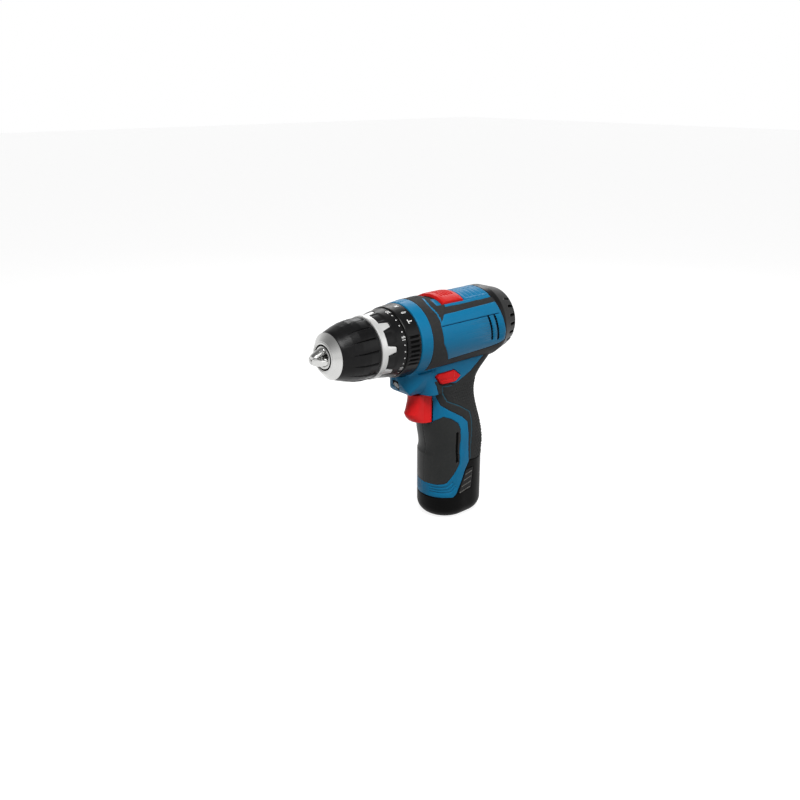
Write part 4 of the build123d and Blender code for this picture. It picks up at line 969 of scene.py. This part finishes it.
# The gaps round the lugs, carved deeper than 0.5 mm, are painted near black as shade.
spun("torque_ring_cap", [
    (mode_end + 0.3, torque_radius - 3.2), (mode_end + 0.3, float(torque_skin(mode_end)) - 0.35),
    (mode_end + 0.7, float(torque_skin(mode_end)) - 0.05),
    (torque_front - 13.5, torque_radius - 0.7), (torque_front - 0.3, ring_front + 0.05),
    (torque_front, ring_front - 0.3), (torque_front, torque_radius - 4.5),
], 1080, "torque_ring", lug_seats, 0.4, shadow=0.5)


spun("index_ring_band", [
    (torque_front + 0.05, index_bore), (torque_front + 0.05, ring_front + 0.1),
    (torque_front + 0.4, ring_front + 0.25), (index_high[0] - 0.6, ring_front + 0.05),
    (index_high[0], ring_front - 0.5), (index_high[0], index_bore),
], 360, "index_ring", None, 0.4, 30)


def index_lugs():
    """Eight silver lugs that point back from the index ring, let into the torque ring."""
    bm = bmesh.new()
    columns = 9
    stations = [(0.4, 3.3), (-0.6, 3.2), (-2.6, 2.7), (-4.6, 2.2), (-6.2, 1.8), (-6.6, 1.45)]
    for middle in lug_angles:
        grid = []
        for along, half in stations:
            radius = float(torque_skin(torque_front + along)) + 0.12
            radius -= 0.35 if along < -6.4 else 0.0
            rows = []
            for column in range(columns + 2):
                share = min(max((column - 1) / (columns - 1), 0), 1) * 2 - 1
                inner = column in (0, columns + 1)
                reach = radius - (1.4 if inner else 0.3 * abs(share) ** 6)
                turn = radians(middle) + half * share / ring_front
                rows.append(bm.verts.new(((torque_front + along) * MM, reach * cos(turn) * MM,
                                          (reach * sin(turn) + spindle_z) * MM)))
            grid.append(rows)
        for first, second in zip(grid, grid[1:]):
            for k in range(columns + 1):
                bm.faces.new((first[k], first[k + 1], second[k + 1], second[k]))
            bm.faces.new((first[-1], first[0], second[0], second[-1]))
        bm.faces.new(grid[0])
        bm.faces.new(list(reversed(grid[-1])))
    bmesh.ops.recalc_face_normals(bm, faces=bm.faces)
    mesh = bpy.data.meshes.new("index_ring_lugs")
    bm.to_mesh(mesh)
    bm.free()
    mesh.materials.append(finishes[slot_of["index_ring"]])
    mesh.polygons.foreach_set("use_smooth", np.ones(len(mesh.polygons), bool))
    mesh.set_sharp_from_angle(angle=radians(35))
    made = link("index_ring_lugs", mesh)
    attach(made, body_of["index_ring"])


index_lugs()

nose_x = nose_high[0]
# A thin near-black ring on the nose face between the bright rings: painted shade in the groove.
spun("chuck_nose_groove_shade", [
    (nose_x - 0.3, 7.9), (nose_x + 0.06, 7.9), (nose_x + 0.06, 9.75), (nose_x - 0.3, 9.75),
], 180, "chuck_body", lambda x, radius, angle: -0.6 + 0 * x, 0.5, 40, False, 0.5)
spun("chuck_nose_rings", [
    (nose_x - 0.4, 9.6), (nose_x + 0.35, 9.75), (nose_x + 0.5, 10.1), (nose_x + 0.3, 10.7),
    (nose_x - 0.4, 11.25),
], 180, "chuck_body", None, 0.3, 40, False)
spun("chuck_nose_lip", [
    (nose_x - 0.8, 6.2), (nose_x + 0.2, 6.4), (nose_x + 0.4, 6.8), (nose_x + 0.35, 7.7),
    (nose_x - 0.2, 8.2), (nose_x - 0.8, 8.2),
], 180, "chuck_body", None, 0.3, 40, False)


# ---------------------------------------------------------------- printed scales
def flat_text(words, size):
    """Words as a flat mesh, centred, in millimetres."""
    curve = bpy.data.curves.new(f"text_{words}", "FONT")
    curve.body = words
    curve.size = size
    curve.align_x, curve.align_y = "CENTER", "CENTER"
    curve.offset = 0.02 * size
    holder = link(f"text_{words}", curve)
    graph = bpy.context.evaluated_depsgraph_get()
    mesh = bpy.data.meshes.new_from_object(holder.evaluated_get(graph))
    bpy.data.objects.remove(holder)
    points = [tuple(v.co)[:2] for v in mesh.vertices]
    faces = [tuple(p.vertices) for p in mesh.polygons]
    bpy.data.meshes.remove(mesh)
    return points, faces


def flat_shape(*outlines):
    """Closed outlines as one flat mesh."""
    points, faces = [], []
    for outline in outlines:
        faces.append(tuple(range(len(points), len(points) + len(outline))))
        points += outline
    return points, faces


def printed(name, marks, radius_at, body, material):
    """Marks printed round a ring: each a flat mesh with its angle and x."""
    bm = bmesh.new()
    for (points, faces), angle, x in marks:
        made = []
        for across, up in points:
            radius = radius_at(x + up)
            turn = radians(angle) + across / radius
            made.append(bm.verts.new((x + up, radius * cos(turn), radius * sin(turn) + spindle_z)))
        for face in faces:
            try:
                bm.faces.new([made[i] for i in face])
            except ValueError:
                continue
    bmesh.ops.triangulate(bm, faces=bm.faces)
    bmesh.ops.scale(bm, vec=(MM, MM, MM), verts=bm.verts)
    bmesh.ops.recalc_face_normals(bm, faces=bm.faces)
    mesh = bpy.data.meshes.new(name)
    bm.to_mesh(mesh)
    bm.free()
    mesh.materials.append(material)
    made = link(name, mesh)
    thick = made.modifiers.new("ink", "SOLIDIFY")
    thick.thickness = 0.06 * MM
    thick.offset = 0
    settled(made)
    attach(made, body)
    return made


def torque_ink(x):
    """The torque ring's radius at x, a little proud for the ink."""
    return float(torque_skin(x)) + 0.06


def mode_ink(x):
    """The mode ring's radius at x, a little proud for the ink."""
    return mode_radius - 0.95 * (x - mode_x - 0.5) / (mode_end - mode_x - 1.4) + 0.09


scale_x = torque_x + 4.8
dot = flat_shape([(0.5 * cos(2 * pi * k / 12), 0.5 * sin(2 * pi * k / 12)) for k in range(12)])
torque_marks = []
for step in range(1, 21):
    angle = 75 + (step - 20) * 11.0
    if step % 5 == 0 or step == 1:
        torque_marks.append((flat_text(str(step), 3.7), angle, scale_x))
    else:
        torque_marks.append((dot, angle, scale_x))
printed("torque_numbers", torque_marks, torque_ink, body_of["torque_ring"], print_white)

screw_sign = flat_shape(
    [(-1.5, -1.7), (1.5, -1.7), (0.6, -0.8), (-0.6, -0.8)],
    [(-0.6, -0.8), (0.6, -0.8), (0.5, 0.9), (0, 1.9), (-0.5, 0.9)],
    [(-1.0, -0.3), (1.0, 0.0), (1.0, 0.3), (-1.0, 0.0)],
    [(-0.95, 0.5), (0.9, 0.8), (0.9, 1.1), (-0.95, 0.8)],
)
drill_sign = flat_shape(
    [(-0.5, -2.0), (0.5, -2.0), (0.5, -1.1), (-0.5, -1.1)],
    [(-0.9, -1.0), (0.9, -0.5), (0.9, -0.1), (-0.9, -0.6)],
    [(-0.9, -0.2), (0.9, 0.3), (0.9, 0.7), (-0.9, 0.2)],
    [(-0.9, 0.6), (0.9, 1.1), (0, 2.0), (-0.9, 1.3)],
)
hammer_sign = flat_shape(
    [(-1.6, 0.7), (1.4, 0.7), (1.7, 1.1), (1.4, 1.6), (-1.3, 1.6), (-1.6, 1.2)],
    [(-0.4, -2.0), (0.4, -2.0), (0.35, 0.7), (-0.35, 0.7)],
)
sign_x = mode_x + 5.0
printed("mode_signs", [(screw_sign, 81, sign_x), (drill_sign, 62, sign_x),
                       (hammer_sign, 44, sign_x)], mode_ink, body_of["mode_ring"], print_white)


# ---------------------------------------------------------------- studio
def place_camera():
    """A camera at three-quarter front height, looking slightly down."""
    data = bpy.data.cameras.new("camera")
    camera = bpy.data.objects.new("camera", data)
    bpy.context.scene.collection.objects.link(camera)
    camera.location = (0.4441, 0.4567, 0.3248)
    target = Vector((0.0383, 0.0, 0.1019))
    camera.rotation_euler = (target - camera.location).to_track_quat("-Z", "Y").to_euler()
    data.lens = 39.07
    data.sensor_width = 36.0
    data.shift_x = -13 / 800
    data.shift_y = -1 / 800
    data.clip_start = 0.01
    bpy.context.scene.camera = camera


def lamp(name, place, aim, size, power):
    """A soft rectangular lamp."""
    data = bpy.data.lights.new(name, "AREA")
    data.shape = "RECTANGLE"
    data.size, data.size_y = size
    data.energy = power
    light = bpy.data.objects.new(name, data)
    light.location = place
    light.rotation_euler = (Vector(aim) - Vector(place)).to_track_quat("-Z", "Y").to_euler()
    bpy.context.scene.collection.objects.link(light)


def pale_surface(name):
    """Near white to the camera and in mirrors, and darker as a source of light."""
    material = bpy.data.materials.new(name)
    material.use_nodes = True
    tree = material.node_tree
    shader = tree.nodes["Principled BSDF"]
    shader.inputs["Base Color"].default_value = (0.36, 0.36, 0.36, 1)
    shader.inputs["Roughness"].default_value = 0.9
    rays = node(tree, "ShaderNodeLightPath")
    seen = math(tree, "MAXIMUM", rays.outputs["Is Camera Ray"], rays.outputs["Is Glossy Ray"])
    shader.inputs["Emission Color"].default_value = (1, 1, 1, 1)
    tree.links.new(math(tree, "MULTIPLY", seen, 0.88), shader.inputs["Emission Strength"])
    return material


def build_floor():
    """A wide pale floor."""
    mesh = bpy.data.meshes.new("floor")
    far = 6.0
    mesh.from_pydata(
        [(-far, -far, 0), (far, -far, 0), (far, far, 0), (-far, far, 0)], [], [(0, 1, 2, 3)]
    )
    floor = link("floor", mesh)
    floor.location.z = mounts["foot_face"]["pos_m"][2] - 0.0002
    mesh.materials.append(pale_surface("floor_paint"))


def light_world():
    """A pale surround, white to the camera and dimmer overhead in reflections."""
    world = bpy.data.worlds.new("surround")
    world.use_nodes = True
    tree = world.node_tree
    back = tree.nodes["Background"]
    rays = node(tree, "ShaderNodeLightPath")
    place = node(tree, "ShaderNodeTexCoord")
    split = node(tree, "ShaderNodeSeparateXYZ")
    tree.links.new(place.outputs["Generated"], split.inputs["Vector"])
    ceiling = node(tree, "ShaderNodeMapRange")
    for label, value in (("From Min", 0.15), ("From Max", 0.75), ("To Min", 1.0), ("To Max", 0.22)):
        ceiling.inputs[label].default_value = value
    tree.links.new(split.outputs["Z"], ceiling.inputs["Value"])
    plain = 0.10
    mirrored = math(tree, "SUBTRACT", ceiling.outputs["Result"], plain)
    mirrored = math(tree, "MULTIPLY", rays.outputs["Is Glossy Ray"], mirrored)
    seen = math(tree, "MULTIPLY", rays.outputs["Is Camera Ray"], 1.0 - plain)
    strength = math(tree, "ADD", math(tree, "ADD", mirrored, seen), plain)
    tree.links.new(strength, back.inputs["Strength"])
    back.inputs["Color"].default_value = (1, 1, 1, 1)
    bpy.context.scene.world = world


place_camera()
light_world()
build_floor()
centre = (0.03, 0.0, 0.1)
lamp("key", (0.30, 0.40, 0.90), centre, (0.40, 0.40), 8.0)
lamp("fill", (-0.35, 0.75, 0.45), centre, (0.7, 0.5), 1.2)
lamp("rim", (-0.5, -0.5, 0.6), centre, (0.5, 0.3), 2.0)
bpy.context.scene.view_settings.view_transform = "Standard"
